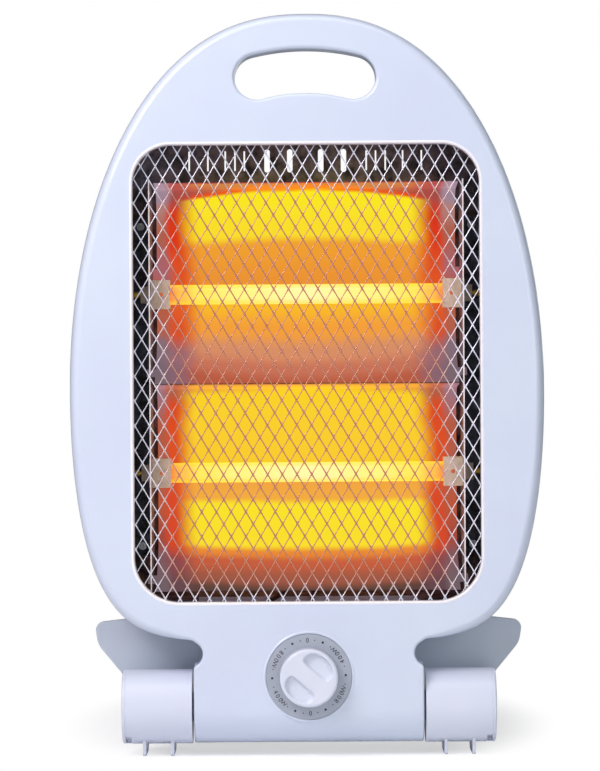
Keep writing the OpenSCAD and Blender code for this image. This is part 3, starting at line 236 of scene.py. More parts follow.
# Phenolic, moulded: near-black and satin, as on switches and gland
blackPhenolic = solidMaterial(
    "blackPhenolic", ("#1D1D20", "#27272B"), sizes=(9, 0.5, 10), rough=(0.4, 0.55), bumps=(0.08, 0.3),
    ior=1.55
)
# Silicone rubber sleeve: dark, dry and slightly uneven
siliconeSleeve = solidMaterial(
    "siliconeSleeve", ("#332B2C", "#443A39"), sizes=(4, 0.4, 5), rough=(0.55, 0.7), bumps=(0.15, 0.35),
    ior=1.41
)
# Friction ring of natural acetal: milky light grey, waxy, a little uneven
milkyAcetal = solidMaterial(
    "milkyAcetal", ("#C6CBD4", "#D2D7DE"), sizes=(5, 0.4, 6), rough=(0.4, 0.55), bumps=(0.1, 0.3),
    ior=1.48
)
# Ink of the dial, pad printed: flat black with a soft edge of gloss
padPrintInk = solidMaterial(
    "padPrintInk", ("#22242E", "#2E303A"), sizes=(2, 0.3, 5), rough=(0.5, 0.6), bumps=(0.02, 0.1),
    ior=1.5
)
# Black half-gloss coat inside the back: the near black is painted shade, and the lighter smoky patches are
# painted reflections
shadeAndSheen = {
    "tones": ("#17171C", "#868A9C"), "sizes": (8, 0.9, 5), "rough": (0.28, 0.6), "bumps": (0.5, 0.5),
    "ior": 1.5,
}
shadeBlackLining = solidMaterial("shadeBlackLining", **shadeAndSheen)
# The same painted shade and painted reflections on the sheet of the end plates
shadeBlackSheet = solidMaterial("shadeBlackSheet", **shadeAndSheen, recolour=paintedEdgeHighlight)
print("materials of the solids done")


# Bright rolled aluminium round a glowing tube. The mirror shows mostly the tube, so the tube's reflection is
# painted on it as glow, a painted reflection,
# with painted shade under the lips: three ramps up the trough, for its middle, the ends of the lit coil and
# the corners by the end plates.
# Each column has its stops and the distances from the middle, in millimetres, between which it takes over.
# The bands bow:
# height from the middle of the trough grows with the square of that distance, by the share bow at 90 mm
def mirrorWithPaintedGlow(name, low, high, bow, columns):
    material, addNode, coords = newMaterial(name)
    split = addNode("SeparateXYZ", Vector=coords)
    drift = addNode("TexNoise", Vector=coords, Scale=1000 / 42, Detail=2.0)
    sway = addNode("MapRange", Value=drift, To_Min=-0.0015, To_Max=0.0015)
    height = addNode("Math", "ADD", in0=split.outputs["Z"], in1=sway)
    up = addNode("MapRange", Value=height, From_Min=low * mm, From_Max=high * mm)
    across = addNode("Math", "ABSOLUTE", in0=split.outputs["X"])
    square = addNode("Math", "POWER", in0=across, in1=2.0)
    swell = addNode("Math", "MULTIPLY_ADD", in0=square, in1=bow / 0.09 ** 2, in2=1.0)
    centred = addNode("Math", "SUBTRACT", in0=up, in1=0.5)
    bowed = addNode("Math", "MULTIPLY_ADD", in0=centred, in1=swell, in2=0.5)
    wander = addNode("MapRange", Value=drift, To_Min=-0.006, To_Max=0.006)
    bent = addNode("Math", "ADD", in0=across, in1=wander)
    for stops, start, end in columns:
        ramp = addNode("ValToRGB", Fac=bowed)
        setStops(ramp.color_ramp, stops, "EASE")
        if start == 0:
            paintedGlow = ramp
            continue
        share = addNode("MapRange", smooth, Value=bent, From_Min=start * mm, From_Max=end * mm)
        paintedGlow = addNode("Mix", ofColours, Factor=share, in6=paintedGlow, in7=ramp).outputs[2]
    brushed = addNode("Mapping", Vector=coords, Scale=(1.0, 1.0, 40.0))
    lines = addNode("TexNoise", Vector=brushed, Scale=90.0, Detail=3.0)
    rough = addNode("MapRange", Value=lines, To_Min=0.25, To_Max=0.45)
    bump = addNode("Bump", Height=lines, Strength=0.15, Distance=0.0003)
    # the emission carries the painted reflection of the tube and the painted shade under the lips
    shader = addNode("BsdfPrincipled", Base_Color=linear("#2A2422"), Metallic=1.0, Roughness=rough,
                     Normal=bump, Emission_Color=paintedGlow, Emission_Strength=0.94)
    addNode("OutputMaterial", Surface=shader)
    return material


upperPaintedReflection = mirrorWithPaintedGlow("rolledAluminiumUpper", 224, 347, 0.17, [
    ([(0.0, "#B45442"), (0.07, "#C46E5A"), (0.16, "#DA9068"), (0.27, "#F9A236"), (0.4, "#FFBE20"),
      (0.5, "#F0942E"), (0.7, "#F5A22A"), (0.76, "#FFE224"), (0.96, "#FFEC1C"), (0.98, "#EA4A1E"),
      (1.0, "#B04644")], 0, 0),
    ([(0.0, "#826472"), (0.1, "#946A74"), (0.24, "#DE5024"), (0.42, "#EA5E22"), (0.6, "#E24E1E"),
      (0.78, "#E0340E"), (0.9, "#D83412"), (1.0, "#A84C48")], 63, 79),
    ([(0.0, "#766670"), (0.15, "#86707C"), (0.24, "#B6604A"), (0.45, "#BA5A40"), (0.6, "#AC646A"),
      (0.8, "#B0604C"), (0.95, "#B4807A"), (1.0, "#A08898")], 81, 87),
])
lowerPaintedReflection = mirrorWithPaintedGlow("rolledAluminiumLower", 99, 225, 0.08, [
    ([(0.0, "#4A343A"), (0.05, "#9A4E46"), (0.12, "#C45440"), (0.17, "#EE8A34"), (0.21, "#FFE426"),
      (0.4, "#FFE820"), (0.44, "#F8AE3C"), (0.54, "#F6A63E"), (0.62, "#FFD028"), (0.95, "#FFD624"),
      (1.0, "#E09038")], 0, 0),
    ([(0.0, "#5C4650"), (0.1, "#844A50"), (0.2, "#DA4824"), (0.42, "#DE4620"), (0.55, "#E25626"),
      (0.7, "#E24E1C"), (0.9, "#E0481A"), (1.0, "#B06048")], 65, 80),
    ([(0.0, "#6E6068"), (0.12, "#7E5A60"), (0.22, "#A84A3C"), (0.4, "#BE5638"), (0.55, "#B06050"),
      (0.8, "#B85A42"), (1.0, "#A07480")], 82, 88),
])


# Quartz glass lit from inside by its coil: the tube reads as a bar of pale yellow light, redder at the ends
def litQuartz(name, axisZ):
    material, addNode, coords = newMaterial(name)
    split = addNode("SeparateXYZ", Vector=coords)
    across = addNode("Math", "ABSOLUTE", in0=split.outputs["X"])
    out = addNode("MapRange", Value=across, From_Min=0.0, From_Max=0.09)
    along = addNode("ValToRGB", Fac=out)
    setStops(along.color_ramp, [
        (0.0, "#FFF0A0"), (0.45, "#FFEC78"), (0.72, "#FFE048"), (0.84, "#FFB634"), (0.93, "#F07A28"),
        (1.0, "#B05038"),
    ], "EASE")
    off = addNode("Math", "SUBTRACT", in0=split.outputs["Z"], in1=axisZ * mm)
    side = addNode("Math", "ABSOLUTE", in0=off)
    edge = addNode("MapRange", smooth, Value=side, From_Min=0.0025, From_Max=0.006, To_Max=0.6)
    rim = addNode("Mix", ofColours, Factor=edge, in6=along, in7=linear("#FFDC38"))
    shader = addNode("BsdfPrincipled", Base_Color=linear("#6E5A3A"), Roughness=0.12, IOR=1.46,
                     Emission_Color=rim.outputs[2], Emission_Strength=1.0)
    addNode("OutputMaterial", Surface=shader)
    return material


# Nickel-chrome wire at white-yellow heat
def glowingNichrome():
    material, addNode, coords = newMaterial("glowingNichrome")
    flicker = addNode("TexNoise", Vector=coords, Scale=1000 / 6, Detail=1.0)
    glowLight = addNode("ValToRGB", Fac=flicker)
    setStops(glowLight.color_ramp, [(0.3, "#FFD24A"), (0.7, "#FFF2B8")])
    shader = addNode("BsdfPrincipled", Metallic=1.0, Roughness=0.5, Emission_Color=glowLight,
                     Emission_Strength=1.2)
    addNode("OutputMaterial", Surface=shader)
    return material


print("materials of the glow done")


# Lowest corner, highest corner and middle of a node, in millimetres
def boxMm(node):
    low, high = [np.array(corner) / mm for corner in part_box(node)]
    return low, high, (low + high) / 2


# Makes a piece from points in millimetres and arrays of faces, smooth up to the angle sharp
def newPiece(name, points, faceArrays, material, body, standsFor, sharp, weld=False):
    mesh = bpy.data.meshes.new(name)
    mesh.vertices.add(len(points))
    mesh.vertices.foreach_set("co", (np.asarray(points, float) * mm).astype(np.float32).ravel())
    loops = np.concatenate([np.asarray(faces).ravel() for faces in faceArrays])
    sizes = np.concatenate([np.full(len(faces), np.asarray(faces).shape[1]) for faces in faceArrays])
    mesh.loops.add(len(loops))
    mesh.loops.foreach_set("vertex_index", loops.astype(np.int32))
    mesh.polygons.add(len(sizes))
    mesh.polygons.foreach_set("loop_start", (np.cumsum(sizes) - sizes).astype(np.int32))
    mesh.update(calc_edges=True)
    mesh.validate()
    if weld:
        weldMesh(mesh)
    mesh.shade_smooth()
    mesh.set_sharp_from_angle(angle=math.radians(sharp))
    mesh.materials.append(material)
    piece = newObject(name, mesh)
    dress(piece, body, standsFor)
    return piece


def dress(piece, body, standsFor=()):
    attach(piece, body)
    if standsFor:
        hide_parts(*standsFor)


# Joins points that coincide and turns all faces outwards
def weldMesh(mesh):
    work = bmesh.new()
    work.from_mesh(mesh)
    bmesh.ops.remove_doubles(work, verts=work.verts, dist=2e-5)
    bmesh.ops.dissolve_degenerate(work, edges=work.edges, dist=1e-6)
    bmesh.ops.recalc_face_normals(work, faces=work.faces)
    work.to_mesh(mesh)
    work.free()


# Middles or normals of a mesh's faces, one row each
def faceValues(mesh, key):
    values = np.zeros(len(mesh.polygons) * 3, np.float32)
    mesh.polygons.foreach_get(key, values)
    return values.reshape(-1, 3)


# Four-sided faces of a grid, counted row by row, each row closed on itself
def gridFaces(rows, cols, closeRows=False):
    i = np.arange(rows if closeRows else rows - 1)[:, None]
    j = np.arange(cols)[None, :]
    nextI, nextJ = (i + 1) % rows, (j + 1) % cols
    quad = np.stack([i * cols + j, nextI * cols + j, nextI * cols + nextJ, i * cols + nextJ], axis=-1)
    return quad.reshape(-1, 4)


# The ends of a tube of six-pointed rings, from the first points of its first and last ring
def hexagonEnds(first, last):
    fan = np.array([[0, 1, 2, 3], [0, 3, 4, 5]])
    return np.concatenate([first + fan[:, ::-1], last + fan])


# Points at even steps along a line, both ends kept
def resample(line, step):
    line = np.asarray(line, float)
    length = np.concatenate([[0], np.cumsum(np.linalg.norm(np.diff(line, axis=0), axis=1))])
    count = max(2, int(round(length[-1] / step)) + 1)
    at = np.linspace(0, length[-1], count)
    return np.stack([np.interp(at, length, line[:, k]) for k in range(line.shape[1])], axis=1)


# Moving average along a line, with both ends pinned
def soften(line, halfWindow, passes):
    for _ in range(passes):
        padded = np.concatenate([
            2 * line[:1] - line[halfWindow:0:-1], line, 2 * line[-1:] - line[-2:-halfWindow - 2:-1]
        ])
        kernel = np.ones(2 * halfWindow + 1) / (2 * halfWindow + 1)
        line = np.stack([np.convolve(padded[:, k], kernel, "valid") for k in range(line.shape[1])], axis=1)
    return line


def onceRound(count):
    return np.linspace(0, 2 * math.pi, count, endpoint=False)


def arc(centre, radius, start, stop, count):
    angle = np.radians(np.linspace(start, stop, count))
    return np.stack([centre[0] + radius * np.cos(angle), centre[1] + radius * np.sin(angle)], axis=1)


# Unit vectors square to a closed loop, to the left of its direction
def loopNormals(loop):
    along = np.roll(loop, -1, axis=0) - np.roll(loop, 1, axis=0)
    along /= np.linalg.norm(along, axis=1)[:, None]
    return np.stack([-along[:, 1], along[:, 0]], axis=1)


# True where a point lies inside a closed loop, by counting the sides that a ray crosses
def insideLoop(points, loop):
    x, y = points[:, :1], points[:, 1:]
    x0, y0 = loop[:, 0], loop[:, 1]
    x1, y1 = np.roll(x0, -1), np.roll(y0, -1)
    spans = (y0 > y) != (y1 > y)
    with np.errstate(divide="ignore", invalid="ignore"):
        crossX = x0 + (y - y0) * (x1 - x0) / (y1 - y0)
    return (spans & (x < crossX)).sum(axis=1) % 2 == 1


# Triangles that fill a region between an outer loop and its holes, with extra points inside
def fillRegion(outer, holes, extra):
    loops = [outer, *holes]
    starts = np.cumsum([0] + [len(loop) for loop in loops])
    edges = [
        (int(start + k), int(start + (k + 1) % len(loop)))
        for start, loop in zip(starts, loops) for k in range(len(loop))
    ]
    flat = np.concatenate([*loops, extra])
    cut = delaunay_2d_cdt([Vector(p) for p in flat], edges, [], 0, 1e-7)
    verts, faces = np.array(cut[0]), np.array(cut[2])
    middles = verts[faces].mean(axis=1)
    keep = insideLoop(middles, outer)
    for hole in holes:
        keep &= ~insideLoop(middles, hole)
    return verts, faces[keep]


# Driving sizes of the housing, measured on the frame where it has them
frontLow, frontHigh, _ = boxMm("front_housing")
capLow, capHigh, capMiddle = boxMm("foot_cap_right")
housing = {
    "halfWidth": frontHigh[0], "topZ": frontHigh[2], "faceY": frontLow[1], "seamY": frontHigh[1],
    "axisZ": capMiddle[2],
    "wideZ": 221.0, "eggLow": 70.0,  # widest level and lowest level of the egg
    "upperPowers": (2.03, 2.34), "lowerPowers": (2.1, 6.6),  # of the height and of the width
    "wall": 2.4, "pedestalX": 69.2, "pedestalR": 22.0, "notchR": 7.6, "notchOut": 2.0, "notchUp": 33.0,
    "bevelSide": 5.8, "bevelEnd": 4.6, "bevelDepth": 7.0, "neckEdge": 1.3,
    "openX": 104.2, "openLow": 93.6, "openHigh": 368.2, "openRTop": 23.0, "openRLow": 27.0, "rimDepth": 8.0,
    "slotX": 28.9, "slotZ": 408.9, "slotR": 13.6, "slotTop": 426.0, "slotLow": 399.1,
    "dialZ": 48.6, "dialR": 25.8,
}
roundStart = housing["axisZ"]  # below this level the front is rolled round the pedestal
seamLevel = roundStart - housing["pedestalR"] * math.pi / 2  # where the rolled front meets the seam


# Places flat pattern points on the front: x stays, the level s is a height down to the hinge axis and an arc
# length round the pedestal below it, and depth is measured into the wall
def onFront(spots, depth):
    x, s = spots[:, 0], spots[:, 1]
    radius = housing["pedestalR"] - depth
    turn = np.clip((roundStart - s) / housing["pedestalR"], 0, None)
    y = np.where(turn > 0, housing["seamY"] - radius * np.cos(turn), housing["faceY"] + depth)
    z = np.where(turn > 0, roundStart - radius * np.sin(turn), s)
    return np.stack([x, y, z], axis=-1)


# Right half of the egg from its top down to this half width: two superellipses that meet at the widest level
def eggHalf(stopX):
    h = housing
    up = np.radians(np.linspace(90, 0, 3000))
    down = np.radians(90 * (1 - (1 - np.linspace(0, 1, 6000)) ** 3))
    (a, b), (c, d) = h["upperPowers"], h["lowerPowers"]
    upper = np.stack([
        h["halfWidth"] * np.cos(up) ** (2 / b), h["wideZ"] + (h["topZ"] - h["wideZ"]) * np.sin(up) ** (2 / a)
    ], axis=1)
    lower = np.stack([
        h["halfWidth"] * np.cos(down) ** (2 / d),
        h["wideZ"] - (h["wideZ"] - h["eggLow"]) * np.sin(down) ** (2 / c)
    ], axis=1)
    upper[0, 0] = 0
    half = np.concatenate([upper, lower[1:]])
    return half[(half[:, 0] > stopX) | (half[:, 1] > h["wideZ"])]


# Right half of the outline from the top to the seam: egg, round notch, straight pedestal side
def rightOutline():
    h = housing
    notch = (h["pedestalX"] + h["notchOut"], roundStart + h["notchUp"])
    reach = math.degrees(math.acos(h["notchOut"] / h["notchR"]))
    bend = arc(notch, h["notchR"], 180 - reach, 180 + reach, 120)
    side = np.array([[h["pedestalX"], bend[-1, 1] - 0.1], [h["pedestalX"], seamLevel]])
    line = resample(np.concatenate([eggHalf(h["pedestalX"]), bend, side]), 0.25)
    line[:, 0] = np.abs(line[:, 0])
    softened = soften(line, 4, 3)
    softened[0], softened[-1] = line[0], line[-1]
    return resample(softened, 1.25)


# The front housing: closed shell of the flat pattern, with rolled pedestal, bevelled rim, openings and dial
# lip; every loop carries its rounded edge inwards ring by ring
def makeFrontShell():
    h = housing
    right = rightOutline()
    bottomX = np.linspace(h["pedestalX"], -h["pedestalX"], 48)[1:-1]
    bottom = np.stack([bottomX, np.full_like(bottomX, seamLevel)], axis=1)
    left = right[::-1] * [-1, 1]
    loop = np.concatenate([right, bottom, left[:-1]])
    atBottom = np.zeros(len(loop), bool)
    atBottom[len(right):len(right) + len(bottom)] = True
    cornerA, cornerB = len(right) - 1, len(right) + len(bottom)
    # the loop runs clockwise, so the wall lies to its right
    inward = -loopNormals(loop)
    inward[0] = (0, -1)
    inward[cornerA], inward[cornerB] = (-1, 0), (1, 0)
    inward[atBottom] = np.stack([-loop[atBottom, 0] / h["pedestalX"], np.zeros(atBottom.sum())], axis=1)
    # the bevel narrows below the level where the egg meets the pedestal, within this half width
    neckZ, neckBlend, neckX = 72, 1.2, 80
    neck = 1 / (1 + np.exp((loop[:, 1] - neckZ) / neckBlend)) * (np.abs(loop[:, 0]) < neckX)
    eggWidth = h["bevelEnd"] + (h["bevelSide"] - h["bevelEnd"]) * np.abs(inward[:, 0]) ** 0.8
    width = eggWidth * (1 - neck) + h["neckEdge"] * neck
    deep = h["bevelDepth"] * (1 - neck) + h["neckEdge"] * neck
    window = 9
    spread = np.ones(2 * window + 1) / (2 * window + 1)
    width, deep = [
        np.convolve(np.concatenate([v[-window:], v, v[:window]]), spread, "valid") for v in (width, deep)
    ]
    bore = 9.1  # radius of the hub bore in the pedestal's sides
    rise = loop[:, 1] - roundStart
    full = h["seamY"] - h["faceY"]
    wallEnd = np.where(
        rise > bore, full, full - np.sqrt(np.clip(bore ** 2 - np.clip(rise, 0, bore) ** 2, 0, None))
    )
    zero = np.zeros(len(loop))
    rings = [(width + 0.9, zero), (width + 0.5, zero), (width + 0.2, zero + 0.02)]
    for u in (0.04, 0.1, 0.18, 0.28, 0.4, 0.52, 0.66, 0.82, 1.0):
        # quadratic curve from the crease on the face to the upright side
        inset = (1 - u) ** 2 * width + 2 * u * (1 - u) * 0.24 * width
        depth = 2 * u * (1 - u) * 0.1 * deep + u ** 2 * deep
        rings.append((inset, depth))
    rings += [
        (zero, deep + 1.0), (zero, wallEnd - 0.6), (zero + 0.12, wallEnd - 0.2), (zero + 0.4, wallEnd),
        (zero + h["wall"], wallEnd), (zero + h["wall"], np.minimum(deep + 2, wallEnd - 0.5)),
        (width + 1.6, zero + h["wall"]),
    ]
    outerRings = []
    for k, (inset, depth) in enumerate(rings):
        inner = k >= len(rings) - 3
        ringDepth = np.where(atBottom, h["wall"] if inner else 0.0, depth)
        spot = loop + inward * inset[:, None]
        outerRings.append((spot, ringDepth))
    points, faces, count = [], [], 0

    def addRings(ringPoints):
        nonlocal count
        grid = np.concatenate(ringPoints)
        faces.append(gridFaces(len(ringPoints), len(ringPoints[0])) + count)
        points.append(grid)
        count += len(grid)

    addRings([onFront(spot, depth) for spot, depth in outerRings])

    # Holes: loop, edge radius, depth of the wall, chamfer behind, width and height of the bead round it
    openings = []
    for hole, edge, wallDepth, chamfer, bead, lift in (
        (slotLoop(), 2.4, full, 0.4, 0.6, 0.0), (grilleLoop(), 1.2, h["rimDepth"], 0.0, 0.7, 0.3)
    ):
        outwards = loopNormals(hole)
        if (outwards * (hole - hole.mean(axis=0))).sum() < 0:
            outwards = -outwards
        turn = np.radians(np.linspace(90, 0, 9))
        profile = [(edge + bead + 0.8, 0.0), (edge + bead + 0.35, 0.0)]
        for k in range(8):
            profile.append((edge + bead * (1 - k / 8), -lift * math.sin(math.pi / 2 * k / 8) ** 2))
        profile += [(edge * (1 - math.cos(t)), -lift + (edge + lift) * (1 - math.sin(t))) for t in turn]
        profile += [
            (0.0, wallDepth - 0.5), (chamfer, wallDepth), (h["wall"], wallDepth), (h["wall"], h["wall"]),
        ]
        ringSet = [(hole + outwards * away, down) for away, down in profile]
        addRings([onFront(spot, down) for spot, down in ringSet])
        openings.append((ringSet[0][0], ringSet[-1][0]))

    # Dial: a thin lip on a flat boss, then the recess that takes the printed plate
    turn = onceRound(180)
    ringDir = np.stack([np.cos(turn), np.sin(turn)], axis=1)

    def dialRing(out):
        return ringDir * (h["dialR"] + out) + [0, h["dialZ"]]

    # the same ring in the flat pattern, where a height on the rolled front is an arc length
    def dialLoop(out):
        spot = dialRing(out)
        drop = np.clip((roundStart - spot[:, 1]) / h["pedestalR"], 0, 1)
        rolled = roundStart - h["pedestalR"] * np.arcsin(drop)
        return np.stack([spot[:, 0], np.where(spot[:, 1] < roundStart, rolled, spot[:, 1])], axis=1)

    footLoop = dialLoop(2.0)
    dialRings = [onFront(footLoop, 0.0), onFront(dialLoop(1.7), 0.0)]
    for out, lift in (
        (1.5, 0.12), (1.3, 0.3), (1.0, 0.4), (0.6, 0.4), (0.25, 0.28), (0.0, 0.0), (0.0, -1.0), (-20.0, -1.0)
    ):
        ring = dialRing(out)
        dialRings.append(np.stack([ring[:, 0], np.full(len(ring), h["faceY"] - lift), ring[:, 1]], axis=1))
    addRings(dialRings)
    hub = len(dialRings[0])
    points.append(np.array([[0, h["faceY"] + 1.0, h["dialZ"]]]))
    last = np.arange(hub) + count - hub
    faces.append(np.stack([last, np.roll(last, -1), np.full(hub, count)], axis=1))
    count += 1

    # Front and inner skins between the loops; extra points carry the rolled part
    gridX, gridS = np.meshgrid(np.arange(-66, 66.1, 4), np.arange(seamLevel + 1.5, roundStart + 1, 1.5))
    extra = np.stack([gridX.ravel(), gridS.ravel()], axis=1)
    fromDial = np.linalg.norm(extra - [0, h["dialZ"]], axis=1)
    for outer, holes, depth in (
        (outerRings[0][0], [openings[0][0], openings[1][0], footLoop], 0.0),
        (outerRings[-1][0], [openings[0][1], openings[1][1]], h["wall"]),
    ):
        clear = insideLoop(extra, outer) & (np.abs(extra[:, 0]) < h["pedestalX"] - 4.2)
        if depth == 0:
            clear &= fromDial > h["dialR"] + 4.5
        verts, tris = fillRegion(outer, holes, extra[clear])
        points.append(onFront(verts, depth))
        faces.append(tris + count)
        count += len(verts)
    shell = newPiece(
        "frontShell", np.concatenate(points), faces, mouldedWhiteAbs, "heater",
        ["front_housing"], sharp=50, weld=True
    )
    shell.data.materials.append(highlightRimAbs)
    middles = faceValues(shell.data, "center") / mm
    fromOpening = openingDistance(middles[:, [0, 2]])
    rimHighlight = (fromOpening > -0.2) & (fromOpening < 1.95) & (middles[:, 1] < h["faceY"] + 1.1)
    # the faces of the bead take the whiter ABS, a painted highlight
    shell.data.polygons.foreach_set("material_index", rimHighlight.astype(np.int32))


# Finger slot: two round ends joined by a shallow arch above and a shallow hump below
def slotLoop():
    h = housing
    r, cx, cz = h["slotR"], h["slotX"], h["slotZ"]
    rise = h["slotTop"] - cz
    bigTop = (cx ** 2 + rise ** 2 - r ** 2) / (2 * (rise - r))
    drop = cz - h["slotLow"]
    bigLow = (cx ** 2 + drop ** 2 - r ** 2) / (2 * (r - drop))
    topC, lowC = (0, h["slotTop"] - bigTop), (0, h["slotLow"] - bigLow)
    aTop = math.degrees(math.atan2(cz - topC[1], cx))
    aLow = math.degrees(math.atan2(cz - lowC[1], cx))
    pieces = [
        arc(topC, bigTop, 180 - aTop, aTop, 60),
        arc((cx, cz), r, aTop, aLow - 180, 90),
        arc(lowC, bigLow, aLow, 180 - aLow, 60),
        arc((-cx, cz), r, 360 - aLow, 180 - aTop, 90),
    ]
    line = np.concatenate(pieces + [pieces[0][:1]])
    return resample(line, 1.2)[:-1]


def grilleLoop():
    h = housing
    x, low, high, rt, rl = h["openX"], h["openLow"], h["openHigh"], h["openRTop"], h["openRLow"]
    line = np.concatenate([
        arc((x - rt, high - rt), rt, 90, 0, 40), arc((x - rl, low + rl), rl, 0, -90, 44),
        arc((-x + rl, low + rl), rl, 270, 180, 44), arc((-x + rt, high - rt), rt, 180, 90, 40),
        [[x - rt, high]],
    ])
    return resample(line, 1.5)[:-1]


# Distance outside the grille opening, negative inside it: a rectangle with round corners
def openingDistance(spots):
    h = housing
    upper = spots[:, 1] > 200
    radius = np.where(upper, h["openRTop"], h["openRLow"])
    fromX = np.abs(spots[:, 0]) - (h["openX"] - radius)
    fromZ = np.where(upper, spots[:, 1] - h["openHigh"], h["openLow"] - spots[:, 1]) + radius
    out = np.hypot(np.clip(fromX, 0, None), np.clip(fromZ, 0, None))
    return out + np.minimum(np.maximum(fromX, fromZ), 0) - radius


makeFrontShell()
print("front shell done")


# A welded copy of a CAD node, its edges rounded by a narrow bevel; limit says which edges
def roundedCopy(node, name, material, body, limit="ANGLE"):
    mesh = nodes[node].data.copy()
    mesh.name = name
    mesh.materials.clear()
    work = bmesh.new()
    work.from_mesh(mesh)
    bmesh.ops.remove_doubles(work, verts=work.verts, dist=2e-6)
    bmesh.ops.dissolve_limit(work, angle_limit=math.radians(0.6), verts=work.verts, edges=work.edges)
    work.to_mesh(mesh)
    work.free()
    mesh.materials.append(material)
    mesh.shade_smooth()
    mesh.set_sharp_from_angle(angle=math.radians(38))
    piece = newObject(name, mesh)
    bevel = piece.modifiers.new("roundedEdges", "BEVEL")
    bevel.width = 0.3 * mm
    bevel.segments = 3
    bevel.limit_method = limit
    bevel.angle_limit = math.radians(32)
    bevel.use_clamp_overlap = False
    bevel.loop_slide = False
    piece.modifiers.new("flatFaces", "WEIGHTED_NORMAL").keep_sharp = True
    dress(piece, body, [node])
    return piece


# The dark lining, painted shade, is on the faces that look into the back, towards the front or the middle of
# the heater, and lie between two levels. Only the sharp edges between two faces that don't look in are
# rounded
shadeLining = {"low": 84, "high": 390, "middle": 232, "back": 38}


def shadeInsideBack(piece):
    mesh = piece.data
    normals, middles = faceValues(mesh, "normal"), faceValues(mesh, "center") / mm
    toMiddle = -(normals[:, 0] * middles[:, 0] + normals[:, 2] * (middles[:, 2] - shadeLining["middle"]))
    looksIn = (normals[:, 1] < -0.3) | (
        (toMiddle > 0) & (np.abs(normals[:, 1]) < 0.5) & (middles[:, 1] < shadeLining["back"])
    )
    behindSeam = middles[:, 1] > housing["seamY"] + 1
    inShade = looksIn & behindSeam & (middles[:, 2] > shadeLining["low"]) & (middles[:, 2] < shadeLining["high"])
    mesh.polygons.foreach_set("material_index", inShade.astype(np.int32))
    work = bmesh.new()
    work.from_mesh(mesh)
    work.faces.ensure_lookup_table()
    weight = work.edges.layers.float.new("bevel_weight_edge")
    for edge in work.edges:
        pair = [face.index for face in edge.link_faces]
        hidden = looksIn[pair] & behindSeam[pair]
        if len(pair) == 2 and not hidden.any() and edge.calc_face_angle() > math.radians(32):
            edge[weight] = 1.0
    work.to_mesh(mesh)
    work.free()


rearShell = roundedCopy("rear_housing", "rearShell", mouldedWhiteAbs, "heater", "WEIGHT")
# the inner faces take the near-black painted shade
rearShell.data.materials.append(shadeBlackLining)
shadeInsideBack(rearShell)
barrelTop = housing["axisZ"] + (capHigh[2] - capLow[2]) / 2  # the plates stand above this level
for side in ("left", "right"):
    foot = roundedCopy(f"foot_{side}", f"foot{side.title()}", mouldedFootAbs, f"{side}_foot")
    # the plates above the barrel take the grey painted shade
    foot.data.materials.append(shadedPlateAbs)
    inPlateShade = faceValues(foot.data, "center")[:, 2] / mm > barrelTop
    foot.data.polygons.foreach_set("material_index", inPlateShade.astype(np.int32))
for side in ("left", "right"):
    roundedCopy(f"foot_cap_{side}", f"footCap{side.title()}", mouldedFootAbs, f"{side}_foot")
print("rounded copies done")

# Knob: a turned side with a shaft bore behind, and a front drawn as a height field on circles, with two
# finger pockets across it and the grip ridge left between them
knob = {
    "pocketTurn": 50, "pocketNear": 4.5, "pocketFar": 15.6, "pocketHalf": 10.6, "pocketDepth": 3.4,
    "pocketWall": 1.5, "cornerBlend": 3.9, "edge": 1.7, "taper": 0.6, "bore": 3.4, "boreDepth": 6.4,
}


def makeKnob():
    low, high, (_, _, centreZ) = boxMm("control_knob")
    front, back, radius = low[1], high[1], (high[0] - low[0]) / 2
    turn = onceRound(216)
    top = radius - knob["taper"] - knob["edge"]
    rho = np.concatenate([[0.6], np.arange(1.2, top, 0.34), [top]])[:, None]
    x, z = rho * np.cos(turn), rho * np.sin(turn)
    lean = math.radians(knob["pocketTurn"])
    u = np.abs(x * math.cos(lean) + z * math.sin(lean))
    v = np.abs(-x * math.sin(lean) + z * math.cos(lean))
    # distance outside a pocket: the largest of three, blended so that the corners are round
    k = knob["cornerBlend"]
    sides = np.stack([knob["pocketNear"] - u, v - knob["pocketHalf"], rho - knob["pocketFar"] + 0 * u])
    outside = np.log(np.exp(sides * 3 / k).sum(axis=0)) * k / 3
    sink = np.clip(-outside / knob["pocketWall"], 0, 1)
    depth = knob["pocketDepth"] * sink ** 2 * (3 - 2 * sink)
    rings = [np.stack([x, front + depth, z], axis=-1)]

    def ring(r, y):
        return np.stack([r * np.cos(turn), np.full(len(turn), y), r * np.sin(turn)], axis=-1)[None]

    for a in np.radians(np.arange(15, 91, 15)):
        rings.append(ring(top + knob["edge"] * math.sin(a), front + knob["edge"] * (1 - math.cos(a))))
    for r, y in (
        (radius - 0.1, back - 0.3), (radius - 0.4, back), (radius - 2.4, back), (radius - 2.6, back - 1.9),
        (knob["bore"] + 2.6, back - 1.9), (knob["bore"] + 2.4, back), (knob["bore"] + 0.2, back),
        (knob["bore"], back - 0.2), (knob["bore"], back - knob["boreDepth"]), (0.6, back - knob["boreDepth"]),
    ):
        rings.append(ring(r, y))
    grid = np.concatenate(rings)
    rows, cols = grid.shape[:2]
    points = grid.reshape(-1, 3) + [0, 0, centreZ]
    tips = np.array([[0, front, centreZ], [0, back - knob["boreDepth"], centreZ]])
    j, end = np.arange(cols), (rows - 1) * cols
    first = np.stack([(j + 1) % cols, j, np.full(cols, len(points))], axis=1)
    last = np.stack([end + j, end + (j + 1) % cols, np.full(cols, len(points) + 1)], axis=1)
    newPiece(
        "knob", np.concatenate([points, tips]), [gridFaces(rows, cols), first, last], polishedKnobAbs,
        "knob", ["control_knob"], sharp=50, weld=True
    )


makeKnob()
print("knob done")


